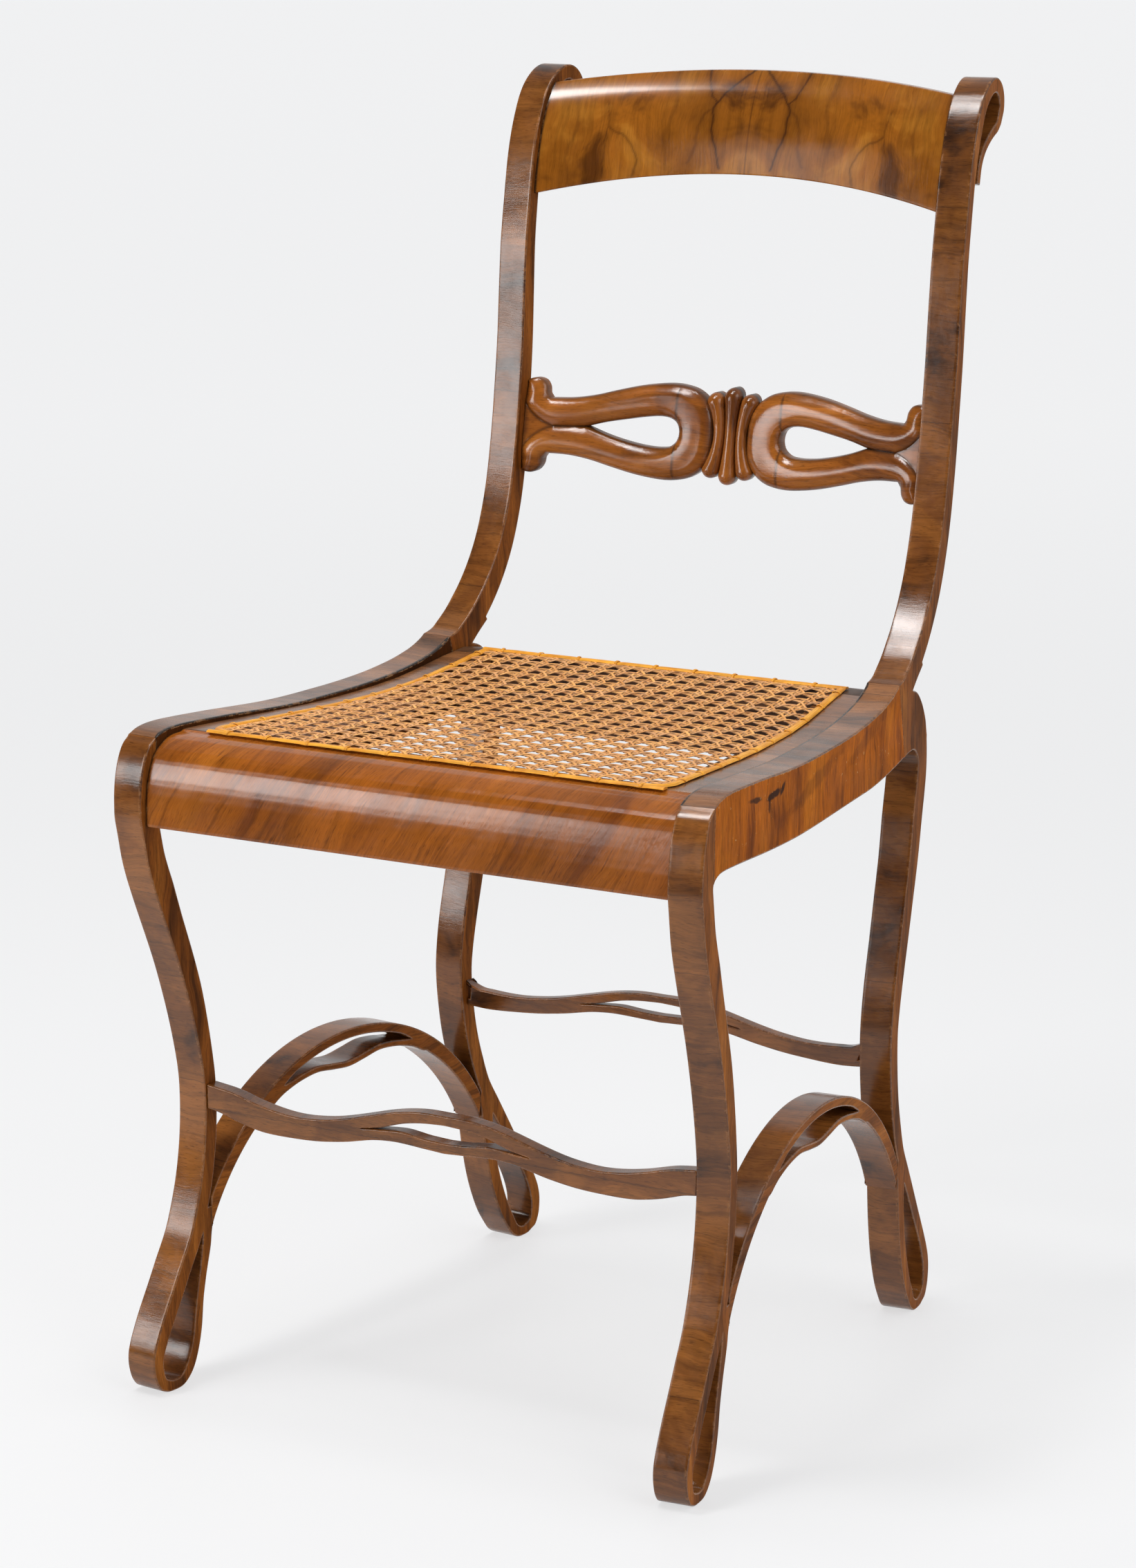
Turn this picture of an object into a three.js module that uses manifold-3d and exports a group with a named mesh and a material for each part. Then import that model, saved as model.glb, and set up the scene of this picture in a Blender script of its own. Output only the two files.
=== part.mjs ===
// Side chair with looped feet, scrolled stiles, a loop and reed mid rail and a caned seat.
// Millimetres, +Z up, the sitter faces -Y. The origin is the middle of the floor under the chair.
import * as THREE from 'three';
import { mergeVertices } from 'three/addons/utils/BufferGeometryUtils.js';
import Module from 'manifold-3d';

const wasm = await Module();
wasm.setup();

// Driving sizes of the whole chair
const overallHeight = 870;        // floor to the top of the scrolls
const seatHeight = 458;           // floor to the top of the knees' straight
const middleWidth = 389.5;        // across the outer faces, at the floor, half way back
const frontReach = 213;           // half way point to the front of the knees
const footReach = 226;            // half way point to the heel of the rear feet
const scrollOverhang = 75;        // heel of the rear feet to the back of the scrolls
const sideTaper = THREE.MathUtils.degToRad(5.44);   // each side frame turns in towards the back
const sideLean = 0.015;           // each side frame leans out, per unit of height

// Straps that the side frames are sawn from
const strapWidth = 23.5;          // across the chair
const kneeThickness = 17.5;
const legThickness = 12.2;
const soleThickness = 8;
const returnThickness = 8.5;      // strap that comes back up from a foot
const rearLegTopThickness = 18;
const rearLegThickness = 14;
const stileFootThickness = 17;
const stileThickness = 12.5;
const scrollThickness = 10.5;
const tailThickness = 6;          // end of the scroll, against the back of the stile
const sawSlit = 0.7;              // between the scroll's tail and the stile
const soleCut = 0.5;              // flat on each foot

// Arch between a front and a rear foot
const archCrownShare = 0.4563;    // its top, of the seat height
const archBand = 7;               // upper band above the eye
const archHaunch = 12.2;          // where band and branch are one
const archAnkle = 10.5;           // at the legs
const archEye = 68;               // half the eye's length
const branchThickness = 4.6;
const frontAnkleShare = 0.7207;   // place of the front joint, of the front reach
const rearAnkleShare = 0.6748;    // place of the rear joint, of the foot reach
const ankleFootShare = 0.2293;    // lowest point of both joints, of the seat height

// Joinery
const fitGap = 0.3;               // between any two pieces
const tenonDepth = 10;
const tenonRoot = 3;              // how far a tenon starts inside its own piece
const tenonThickness = 6;
const shortTenonDepth = 6;
const dowelRadius = 2.5;
const dowelLength = 18;
const overrun = 200;              // how far a cutting block runs past what it cuts

// Seat frame and cane
const railDrop = 50;              // depth of a side rail
const kneeJointShare = 0.9155;    // side rail's front end, of the front reach
const railBackShare = 0.589;      // side rail's back end, of the foot reach
const frontRailSetback = 4;
const frontRailFootShare = 0.8614; // its underside, of the seat height
const frontRailThickness = 22;
const frontShelfThickness = 15;
const rearRailThickness = 24;
const rearRailDrop = 52;
const stripThickness = 16;
const stripWidth = 31;
const caneSetback = 44;           // front of the knees to the cane
const caneBackShare = 0.615;      // cane's rear edge, of the foot reach
const caneMargin = 20;            // side frame to the edge of the cane
const caneBorder = 11;            // cane that lies on its frame
const caneThickness = 2.2;
const bindingWidth = 5;
const bindingThickness = 1.2;
const gapsAcross = 14;
const gapsBack = 12;
const gapShare = 0.66;            // a gap's reach towards the edges of its cell

// Crest rail
const crestSetback = 2.5;
const crestThickness = 8;
const crestBow = 20;              // hollow of the crest and the mid rail, in plan
const crestHeadDrop = 12;         // its upper corners, below the top of the scrolls
const crestDepth = 78;            // its height at the stiles
const crestFootRise = 18;         // arch of the lower edge
const crestHeadRise = 12;         // arch of the upper edge
const crestTenonHeight = 8;
const crestTenonThickness = 4.5;
const crestStations = 20;
const crestSteps = 5;

// Mid rail
const midRailShare = 0.3786;      // its middle line, of the height above the seat
const midRailHalf = 34;           // middle line to the top of a loop
const midRailThickness = 14;
const midRailSetback = 1;
const midRailLean = 0.17;         // back per unit of height
const midRailRound = 4.5;         // rounding of the carved faces
const midRailJoint = 42;          // middle to the joint of the outer pieces
const loopArmShare = 0.64;        // height of an arm's middle line, as a share of the half height
const reedEnd = 7;                // half width of a reed at its ends
const reedWaist = 4.6;            // half width of a reed at its middle
const reedSpread = 13.6;          // middle line of an outer reed at its ends
const reedWaistSpread = 9;        // and at its middle
const reedShort = 4;              // how much shorter an outer reed is at each end
const hubWidthShare = 0.12;       // half width of the plain back of the middle, of the span
const hubHeightShare = 0.55;      // its half height, of the rail's
const reedRoundShare = 0.9;       // rounding of a reed, of its half width at the middle

// Stretchers
const stretcherTopShare = 0.45;   // its top at the legs, of the seat height
const stretcherDrop = 16;
const stretcherThickness = 11.6;
const stretcherEye = 65;
const stretcherTenonHeight = 9;
const rearStretcherTopShare = 0.461;
const rearStretcherDrop = 12;
const rearStretcherArch = 8;      // how much more its middle rises
const rearStretcherThickness = 9;
const rearStretcherSetback = 2;

const curveSteps = 20;

// Places that follow the sizes above
const scrollReach = footReach + scrollOverhang;
const archCrown = archCrownShare * seatHeight;
const frontAnkleJoint = frontAnkleShare * frontReach;
const rearAnkleJoint = rearAnkleShare * footReach;
const ankleJointFoot = ankleFootShare * seatHeight;
const archRise = archCrown - ankleJointFoot - 2 * archAnkle;
const frontArchRadius = (frontAnkleJoint ** 2 + archRise ** 2) / (2 * archRise);
const rearArchRadius = (rearAnkleJoint ** 2 + archRise ** 2) / (2 * archRise);
const kneeJoint = kneeJointShare * frontReach;
const railBackJoint = railBackShare * footReach;
const frontRailBottom = frontRailFootShare * seatHeight;
const caneFront = frontReach - caneSetback;
const caneBack = caneBackShare * footReach;
const rearRailFront = caneBack - caneBorder;
const crestHead = overallHeight - crestHeadDrop;
const crestFoot = crestHead - crestDepth;
const backHeight = overallHeight - seatHeight;
const midRailHeight = seatHeight + midRailShare * backHeight;
const stretcherTop = stretcherTopShare * seatHeight;
const rearStretcherTop = rearStretcherTopShare * seatHeight;

const showwood = new THREE.MeshStandardMaterial({ color: 0x6b3a1c, roughness: 0.32, metalness: 0 });
const veneer = new THREE.MeshStandardMaterial({ color: 0x9a5a22, roughness: 0.28, metalness: 0 });
const innerWood = new THREE.MeshStandardMaterial({ color: 0x5a3a26, roughness: 0.5, metalness: 0 });
const cane = new THREE.MeshStandardMaterial({ color: 0xb98a55, roughness: 0.55, metalness: 0 });
const caneStrip = new THREE.MeshStandardMaterial({ color: 0xd79a45, roughness: 0.4, metalness: 0 });

// Solids and geometries
function solidOf(geometry) {
  const bare = geometry.clone();
  for (const name of Object.keys(bare.attributes)) if (name !== 'position') bare.deleteAttribute(name);
  const merged = mergeVertices(bare);
  const vertProperties = new Float32Array(merged.attributes.position.array);
  const triVerts = new Uint32Array(merged.index.array);
  return new wasm.Manifold(new wasm.Mesh({ numProp: 3, vertProperties, triVerts }));
}

function geometryOf(solid) {
  const mesh = solid.getMesh();
  const geometry = new THREE.BufferGeometry();
  geometry.setAttribute('position', new THREE.BufferAttribute(new Float32Array(mesh.vertProperties), 3));
  geometry.setIndex(new THREE.BufferAttribute(new Uint32Array(mesh.triVerts), 1));
  return geometry;
}

function join(...geometries) {
  return geometryOf(geometries.map(solidOf).reduce((all, one) => all.add(one)));
}

function cut(geometry, ...tools) {
  return geometryOf(tools.map(solidOf).reduce((rest, tool) => rest.subtract(tool), solidOf(geometry)));
}

// A block between two corners
function block(low, high) {
  const size = high.map((value, axis) => value - low[axis]);
  const middle = high.map((value, axis) => (value + low[axis]) / 2);
  return new THREE.BoxGeometry(...size).translate(...middle);
}

function mirrored(geometry) {
  const flipped = (geometry.index ? geometry : mergeVertices(geometry)).clone();
  flipped.scale(-1, 1, 1);
  const order = flipped.index.array;
  for (let i = 0; i < order.length; i += 3) [order[i + 1], order[i + 2]] = [order[i + 2], order[i + 1]];
  return flipped;
}

// A closed body from rings of points, each ring round the last one, all with as many points
function loft(rings) {
  const points = rings.flat();
  const around = rings[0].length;
  const order = [];
  for (let i = 0; i + 1 < rings.length; i++) {
    for (let j = 0; j < around; j++) {
      const here = i * around + j;
      const next = i * around + (j + 1) % around;
      order.push(here, next, next + around, here, next + around, here + around);
    }
  }
  const last = (rings.length - 1) * around;
  for (let j = 1; j + 1 < around; j++) {
    order.push(0, j + 1, j);
    order.push(last, last + j, last + j + 1);
  }
  const geometry = new THREE.BufferGeometry();
  geometry.setAttribute('position', new THREE.Float32BufferAttribute(points.flat(), 3));
  geometry.setIndex(order);
  return geometry;
}

// Outlines
const point = ([across, up]) => new THREE.Vector2(across, up);
const smooth = (points, steps = curveSteps) => new THREE.SplineCurve(points).getPoints(steps);
const scaled = (shares, reach, height) => shares.map(([s, z]) => point([s * reach, z * height]));

// Shares of the side rail: of the front reach in front of the half way point, of the foot reach behind it
const railScaled = (shares) => shares.map(
  ([s, z]) => point([s * (s < 0 ? frontReach : footReach), z * seatHeight]));

// The outline of a strap: a smooth middle line with a thickness at each of its points
function strap(middle, thicknesses, steps = curveSteps) {
  const line = new THREE.SplineCurve(middle);
  const depth = new THREE.SplineCurve(thicknesses.map((value, i) => new THREE.Vector2(i, value)));
  const left = [];
  const right = [];
  for (let i = 0; i <= steps; i++) {
    const at = line.getPoint(i / steps);
    const along = line.getTangent(i / steps);
    const half = depth.getPoint(i / steps).y / 2;
    left.push(new THREE.Vector2(at.x - along.y * half, at.y + along.x * half));
    right.unshift(new THREE.Vector2(at.x + along.y * half, at.y - along.x * half));
  }
  return [...left, ...right];
}

function extruded(outline, depth, holes = [], bevel = {}) {
  const shape = new THREE.Shape(outline);
  shape.holes = holes.map((hole) => new THREE.Path(hole));
  return new THREE.ExtrudeGeometry(shape, { depth, bevelEnabled: false, ...bevel });
}

// Outline (along, up) to a board of the side frame: X runs out from the inner face, -strapWidth, to 0
function sideBoard(outline, width = strapWidth, inner = -strapWidth) {
  const turn = new THREE.Matrix4().makeBasis(
    new THREE.Vector3(0, 1, 0), new THREE.Vector3(0, 0, 1), new THREE.Vector3(1, 0, 0));
  return extruded(outline, width).applyMatrix4(turn).translate(inner, 0, 0);
}

// Outline (across, up) to a board of the back or front: it runs back from the given place
function crossBoard(outline, front, thickness, holes = [], bevel = {}) {
  return extruded(outline, thickness, holes, bevel).rotateX(Math.PI / 2).translate(0, front + thickness, 0);
}

// Side frame to chair: lean, taper and place, for the side at +X
const lean = new THREE.Matrix4().set(1, 0, sideLean, 0, 0, 1, 0, 0, 0, 0, 1, 0, 0, 0, 0, 1);
const rightSide = new THREE.Matrix4().makeTranslation(middleWidth / 2, 0, 0)
  .multiply(new THREE.Matrix4().makeRotationZ(sideTaper)).multiply(lean);
const onRight = (geometry) => geometry.clone().applyMatrix4(rightSide);
const sidePlace = (x, s, z) => new THREE.Vector3(x, s, z).applyMatrix4(rightSide);
const innerHalf = (s, z) => sidePlace(-strapWidth, s, z).x;

// Everything outside the inner faces, which ends each cross piece
const outside = onRight(block(
  [-strapWidth - fitGap, -scrollReach - overrun, -overrun],
  [overrun, scrollReach + overrun, overallHeight + overrun]));
const betweenSides = (geometry) => cut(geometry, outside, mirrored(outside));

// A tenon that a cross piece sends into the inner face of a side frame, or its mortise
function tenon(s, z, thickness, height, grow = 0, depth = tenonDepth) {
  return block(
    [-strapWidth - tenonRoot, s - thickness / 2 - grow, z - height / 2 - grow],
    [-strapWidth + depth + grow, s + thickness / 2 + grow, z + height / 2 + grow]);
}

// A tenon along the side frame, from one of its boards into the next, or its mortise
function endTenon(from, to, z, height, grow = 0) {
  const inset = (strapWidth - tenonThickness) / 2;
  return block(
    [-strapWidth + inset - grow, Math.min(from, to) - grow, z - height / 2 - grow],
    [-inset + grow, Math.max(from, to) + grow, z + height / 2 + grow]);
}

function withTenons(geometry, ...tenons) {
  const right = tenons.map(onRight);
  return join(geometry, ...right, ...right.map(mirrored));
}

// Front leg: shares of the front reach and the seat height
const frontLegShares = [
  [-0.958, 0.878], [-0.931, 0.812], [-0.896, 0.764], [-0.854, 0.71], [-0.81, 0.655], [-0.772, 0.6],
  [-0.743, 0.546], [-0.72, 0.491], [-0.709, 0.448], [-0.71, 0.393], [-0.724, 0.338], [-0.751, 0.284],
  [-0.797, 0.226], [-0.849, 0.185], [-0.896, 0.148], [-0.938, 0.116], [-0.97, 0.09], [-0.997, 0.061],
  [-0.996, 0.036], [-0.975, 0.016], [-0.929, 0.0088]];
const frontLegThicknesses = [
  kneeThickness, 18, 18.5, 17, 16, 15.5, 14, 12.6, legThickness, legThickness, legThickness, legThickness,
  legThickness, legThickness, legThickness, legThickness, 11.5, 11, 10, 9, soleThickness];
const frontReturnShares = [
  [-0.97, 0.0125], [-0.929, 0.0088], [-0.885, 0.0115], [-0.848, 0.028], [-0.82, 0.055], [-0.803, 0.086],
  [-0.79, 0.125], [-0.77, 0.166], [-0.75, 0.205], [-0.7435, 0.235], [-0.7425, 0.262]];
const frontReturnThicknesses = [
  soleThickness, soleThickness, soleThickness, 9, returnThickness, returnThickness, 7.8, 8, 9.5, 9.5, 9.5];
const kneeShares = [
  [-1, 0.873], [-0.997, 0.91], [-0.986, 0.939], [-0.97, 0.961], [-0.948, 0.978], [-0.915, 0.989]];

// Side rail: the ribbon's dished top and its underside
const ribbonTopShares = [
  [-0.915, 0.989], [-0.875, 0.997], [-0.79, 1], [-0.667, 0.998], [-0.535, 0.995], [-0.33, 0.989],
  [-0.188, 0.987], [-0.047, 0.9875], [0.094, 0.989], [0.236, 0.993], [0.358, 1], [0.434, 1.007],
  [0.5, 1.016], [0.556, 1.029]];
const railFootShares = [
  [0.622, 0.914], [0.566, 0.908], [0.452, 0.899], [0.336, 0.893], [0.222, 0.891], [0, 0.887], [-0.23, 0.884],
  [-0.455, 0.886], [-0.67, 0.891], [-0.82, 0.894], [-0.88, 0.892], [-0.915, 0.8845]];

// Rear post: the leg from its rounded head to the sole, shares of the foot reach and the seat height
const rearLegShares = [
  [0.757, 0.962], [0.778, 0.93], [0.782, 0.873], [0.758, 0.81], [0.735, 0.745], [0.706, 0.688],
  [0.671, 0.62], [0.636, 0.555], [0.614, 0.49], [0.62, 0.43], [0.64, 0.372], [0.668, 0.326],
  [0.702, 0.284], [0.747, 0.25], [0.797, 0.213], [0.863, 0.162], [0.93, 0.11], [0.967, 0.072],
  [0.974, 0.043], [0.957, 0.0175], [0.905, 0.0085]];
const rearLegThicknesses = [
  15, 16.5, rearLegTopThickness, 18.5, 17.5, 17, 16, 15.5, rearLegThickness, 13.6, 13.6, 13.6,
  13, 12, 11, 10.3, 10, 11, 10.5, 9.5, soleThickness];
const rearReturnShares = [
  [0.95, 0.0145], [0.905, 0.0085], [0.862, 0.0155], [0.832, 0.035], [0.797, 0.064], [0.758, 0.112],
  [0.733, 0.16], [0.72, 0.2], [0.714, 0.24], [0.708, 0.275]];
const rearReturnThicknesses = [soleThickness, soleThickness, 9, 10.5, 11.5, 11.8, 11.6, 12, 14, 16];

// Where stile, rear leg and side rail meet
const knuckleShares = [
  [0.556, 1.029], [0.622, 0.914], [0.7, 0.917], [0.727, 0.91], [0.744, 0.898], [0.752, 0.875],
  [0.815, 0.875], [0.816, 0.93], [0.797, 0.958], [0.765, 0.983], [0.722, 1.003], [0.68, 1.0107],
  [0.708, 1.0225], [0.76, 1.042], [0.7, 1.075], [0.645, 1.043]];

// Stile and scroll, shares of the scroll reach and of the height above the seat
const stileShares = [
  [0.45, 0.015], [0.52, 0.05], [0.581, 0.095], [0.63, 0.145], [0.667, 0.2], [0.699, 0.273], [0.722, 0.36],
  [0.737, 0.44], [0.751, 0.53], [0.76, 0.62], [0.769, 0.7], [0.784, 0.775], [0.801, 0.845], [0.824, 0.901],
  [0.857, 0.951], [0.899, 0.979], [0.94, 0.987], [0.972, 0.974], [0.983, 0.948], [0.963, 0.921]];
const stileThicknesses = [
  stileFootThickness, 17.5, 17, 16.5, 16, 15.5, 14.8, 14, 13.2, stileThickness, 11.6, 10.8, scrollThickness,
  scrollThickness, scrollThickness, scrollThickness, scrollThickness, scrollThickness, 9.5, 8];
const tailShares = [
  [0.983, 0.948], [0.963, 0.921], [0.917, 0.905], [0.874, 0.885], [0.848, 0.86], [0.837, 0.827]];
const tailThicknesses = [9.5, 8, 7, 6.8, 6.5, tailThickness];
const slitShares = [[0.846, 0.89], [0.833, 0.864], [0.8225, 0.835], [0.818, 0.8]];
const stilePoint = ([s, z]) => new THREE.Vector2(s * scrollReach, seatHeight + z * backHeight);

// Place of the stile's front edge at a height
function stileFrontAt(height) {
  const line = new THREE.SplineCurve(stileShares.map(stilePoint));
  const depth = new THREE.SplineCurve(stileThicknesses.map((value, i) => new THREE.Vector2(i, value)));
  let low = 0;
  let high = 0.85;
  const edge = (t) => {
    const at = line.getPoint(t);
    const along = line.getTangent(t);
    const half = depth.getPoint(t).y / 2;
    return new THREE.Vector2(at.x - along.y * half, at.y + along.x * half);
  };
  for (let i = 0; i < 30; i++) {
    const middle = (low + high) / 2;
    if (edge(middle).y < height) low = middle;
    else high = middle;
  }
  return edge(low).x;
}

// Heights and places of the joints
const railTenonHeight = railDrop / 2;
const railTenonPlace = seatHeight - railDrop / 2 - tenonRoot;
const frontRailTenonPlace = (frontRailBottom + seatHeight) / 2 - frontRailSetback;
const frontRailTenonS = -frontReach + frontRailSetback + kneeThickness / 2;
const rearRailTop = seatHeight + 3;
const rearRailTenonPlace = rearRailTop - rearRailDrop / 2;
const rearRailTenonS = rearRailFront + rearRailThickness - tenonThickness / 2;
const stretcherTenonPlace = stretcherTop - stretcherDrop / 2;
const rearStretcherTenonPlace = rearStretcherTop - rearStretcherDrop / 2;
const frontStretcherS = frontLegShares[8][0] * frontReach;
const stretcherHalfSpan = innerHalf(frontStretcherS, stretcherTop);
const rearStretcherS = rearLegShares[9][0] * footReach;
const crestTenonPlaces = [0.3, 0.7].map((share) => THREE.MathUtils.lerp(crestFoot, crestHead, share));
const midRailS = stileFrontAt(midRailHeight) + midRailSetback;
const midRailSpan = innerHalf(midRailS, midRailHeight);
const midRailTenonS = midRailS + midRailThickness / 2;
const armPlace = midRailHalf * loopArmShare;
const ankleTenonPlace = ankleJointFoot + archAnkle;
const ankleTenonHeight = archAnkle * 0.8;

const tenons = {
  frontRail: (grow) =>
    tenon(frontRailTenonS, frontRailTenonPlace, tenonThickness, railTenonHeight, grow, shortTenonDepth),
  rearRail: (grow) =>
    tenon(rearRailTenonS, rearRailTenonPlace, tenonThickness, railTenonHeight, grow, shortTenonDepth),
  frontStretcher: (grow) =>
    tenon(frontStretcherS, stretcherTenonPlace, tenonThickness, stretcherTenonHeight, grow),
  rearStretcher: (grow) =>
    tenon(rearStretcherS, rearStretcherTenonPlace, tenonThickness, stretcherTenonHeight, grow),
  crest: (grow) => join(...crestTenonPlaces.map((place) => tenon(
    stileFrontAt(place) + crestSetback + crestThickness / 2, place, crestTenonThickness, crestTenonHeight,
    grow, shortTenonDepth))),
  midRailTop: (grow) =>
    tenon(midRailTenonS, midRailHeight + armPlace, tenonThickness, tenonThickness, grow, shortTenonDepth),
  midRailFoot: (grow) =>
    tenon(midRailTenonS, midRailHeight - armPlace, tenonThickness, tenonThickness, grow, shortTenonDepth),
};

const sideRailFrontTenon = (grow) =>
  endTenon(-kneeJoint + tenonRoot, -kneeJoint - shortTenonDepth, railTenonPlace, railTenonHeight, grow);
const sideRailBackTenon = (grow) =>
  endTenon(railBackJoint - tenonRoot, railBackJoint + 2 * tenonDepth, railTenonPlace, railTenonHeight, grow);
const frontArchTenon = (grow) => endTenon(-frontAnkleJoint + tenonRoot, -frontAnkleJoint - shortTenonDepth,
  ankleTenonPlace, ankleTenonHeight, grow);
const rearArchTenon = (grow) => endTenon(rearAnkleJoint - tenonRoot, rearAnkleJoint + shortTenonDepth,
  ankleTenonPlace, ankleTenonHeight, grow);

const floorCut = block([-overrun, -overrun - footReach, -overrun], [overrun, overrun + footReach, soleCut]);

function frontLeg() {
  const legLine = scaled(frontLegShares, frontReach, seatHeight);
  const returnLine = scaled(frontReturnShares, frontReach, seatHeight);
  const knee = smooth(scaled(kneeShares, frontReach, seatHeight), 12);
  const kneeFoot = frontLegShares[0][1] * seatHeight;
  const back = -kneeJoint - fitGap;
  const kneeOutline = [...knee.filter((at) => at.x < back), point([back, knee.at(-1).y]),
    point([back, kneeFoot + tenonRoot]), point([knee[0].x + kneeThickness, kneeFoot - tenonRoot])];
  const whole = join(
    sideBoard(strap(legLine, frontLegThicknesses, 2 * curveSteps)),
    sideBoard(strap(returnLine, frontReturnThicknesses)),
    sideBoard(kneeOutline));
  const ankle = block([-overrun, -frontAnkleJoint - fitGap, ankleJointFoot - archAnkle],
    [overrun, 0, ankleJointFoot + 2 * archAnkle]);
  return cut(whole, floorCut, ankle, sideRailFrontTenon(fitGap), frontArchTenon(fitGap),
    tenons.frontRail(fitGap), tenons.frontStretcher(fitGap));
}

function sideRail() {
  const top = smooth(railScaled(ribbonTopShares));
  const foot = smooth(railScaled(railFootShares), 18);
  return join(sideBoard([...top, ...foot]), sideRailFrontTenon(0), sideRailBackTenon(0));
}

function rearPost() {
  const stileLine = stileShares.map(stilePoint);
  const scroll = sideBoard(strap(stileLine, stileThicknesses, 2 * curveSteps));
  const tail = sideBoard(strap(tailShares.map(stilePoint), tailThicknesses, 12));
  const slit = sideBoard(strap(slitShares.map(stilePoint), slitShares.map(() => sawSlit), 6),
    3 * strapWidth, -2 * strapWidth);
  const legLine = scaled(rearLegShares, footReach, seatHeight);
  const leg = sideBoard(strap(legLine, rearLegThicknesses, 2 * curveSteps));
  const back = sideBoard(strap(scaled(rearReturnShares, footReach, seatHeight), rearReturnThicknesses));
  const knuckle = sideBoard(scaled(knuckleShares, footReach, seatHeight));
  const ankle = block([-overrun, 0, ankleJointFoot - archAnkle],
    [overrun, rearAnkleJoint + fitGap, ankleJointFoot + 2 * archAnkle]);
  const railEnd = sideBoard(railEndOutline(), 3 * strapWidth, -2 * strapWidth);
  return cut(join(scroll, tail, leg, back, knuckle), slit, floorCut, ankle, railEnd,
    sideRailBackTenon(fitGap), rearArchTenon(fitGap), tenons.rearRail(fitGap), tenons.rearStretcher(fitGap),
    tenons.crest(fitGap), tenons.midRailTop(fitGap), tenons.midRailFoot(fitGap));
}

// What the side rail takes away from the post, in front of their joint
function railEndOutline() {
  const [top] = railScaled([ribbonTopShares.at(-1)]);
  const [foot] = railScaled([railFootShares[0]]);
  const along = top.clone().sub(foot).normalize();
  const shift = point([along.y, -along.x]).multiplyScalar(fitGap);
  const high = top.clone().addScaledVector(along, railDrop).add(shift);
  const low = foot.clone().addScaledVector(along, -railDrop / 10).add(shift);
  return [high, point([0, high.y]), point([0, low.y]), low];
}

// A band of the arch between two places: its outer edge is an arc to the front and one to the back
function archBandOutline(from, to, fromThickness, toThickness, steps) {
  const outer = [];
  const inner = [];
  for (let i = 0; i <= steps; i++) {
    const place = THREE.MathUtils.lerp(from, to, i / steps);
    const radius = place < 0 ? frontArchRadius : rearArchRadius;
    const angle = Math.asin(place / radius);
    const depth = radius - THREE.MathUtils.lerp(fromThickness, toThickness, i / steps);
    const centre = archCrown - radius;
    outer.push(point([place, centre + Math.cos(angle) * radius]));
    inner.unshift(point([Math.sin(angle) * depth, centre + Math.cos(angle) * depth]));
  }
  return [...outer, ...inner].reverse();
}

// The wavy branch under the eye: shares of the eye's half length, and drops below the arch's outer edge
// as shares of the haunch
const branchShares = [
  [-1.3, 1], [-1.15, 1], [-1.02, 1.055], [-0.8, 1.21], [-0.52, 1.46], [-0.26, 1.845], [0, 2.06]];

function archEdge(place) {
  const radius = place < 0 ? frontArchRadius : rearArchRadius;
  return archCrown - radius + Math.sqrt(radius ** 2 - place ** 2);
}

function sideArch() {
  const ends = archAnkle;
  const branchLine = [...branchShares, ...branchShares.slice(0, -1).reverse().map(([s, z]) => [-s, z])]
    .map(([s, drop]) => point([s * archEye, archEdge(s * archEye) - drop * archHaunch]));
  const whole = join(
    sideBoard(archBandOutline(-archEye - ends, archEye + ends, archBand, archBand, curveSteps)),
    sideBoard(archBandOutline(-frontAnkleJoint - ends, -archEye, archAnkle, archHaunch, 14)),
    sideBoard(archBandOutline(archEye, rearAnkleJoint + ends, archHaunch, archAnkle, 14)),
    sideBoard(strap(branchLine, branchLine.map(() => branchThickness), 32)));
  const limit = frontReach + overrun;
  const trimmed = cut(whole,
    block([-overrun, -limit, -overrun], [overrun, -frontAnkleJoint, archCrown]),
    block([-overrun, rearAnkleJoint, -overrun], [overrun, limit, archCrown]),
    block([-overrun, -limit, -overrun], [overrun, limit, ankleJointFoot]));
  return join(trimmed, frontArchTenon(0), rearArchTenon(0));
}

// Height of the seat frame's top, as shares of the seat height, evenly from the cane's front to its back
const seatDishShares = [0.993, 0.9865, 0.9815, 0.9875, 1.0085];
const dishCurve = new THREE.SplineCurve(seatDishShares.map((share, i) => point([i, share * seatHeight])));
const rowPlaces = Array.from({ length: gapsBack + 1 },
  (_, row) => THREE.MathUtils.lerp(-caneFront, caneBack, row / gapsBack));
const rowHeights = rowPlaces.map((_, row) => dishCurve.getPoint(row / gapsBack).y);

// The top runs straight between the cane's rows, so that frame, cane and binding lie on each other
function seatTop(place) {
  const along = gapsBack * (place + caneFront) / (caneBack + caneFront);
  const row = THREE.MathUtils.clamp(Math.floor(along), 0, gapsBack - 1);
  return THREE.MathUtils.lerp(rowHeights[row], rowHeights[row + 1], along - row);
}

const rowsBetween = (front, back) => [front, ...rowPlaces.filter((at) => at > front && at < back), back];

// The strip that carries the cane's side edge, or the room for it, which runs on outwards
function seatStrip(grow = 0) {
  const stations = rowsBetween(-caneFront - grow, rearRailFront - fitGap);
  const top = stations.map((at) => point([at, seatTop(at) + grow]));
  const foot = stations.map((at) => point([at, seatTop(at) - stripThickness - grow])).reverse();
  const inside = onRight(block(
    [-middleWidth, -scrollReach - overrun, 0],
    [-strapWidth - fitGap - stripWidth - grow, scrollReach + overrun, overallHeight]));
  return cut(sideBoard([...top, ...foot].reverse(), middleWidth / 2, 0), inside);
}

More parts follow.
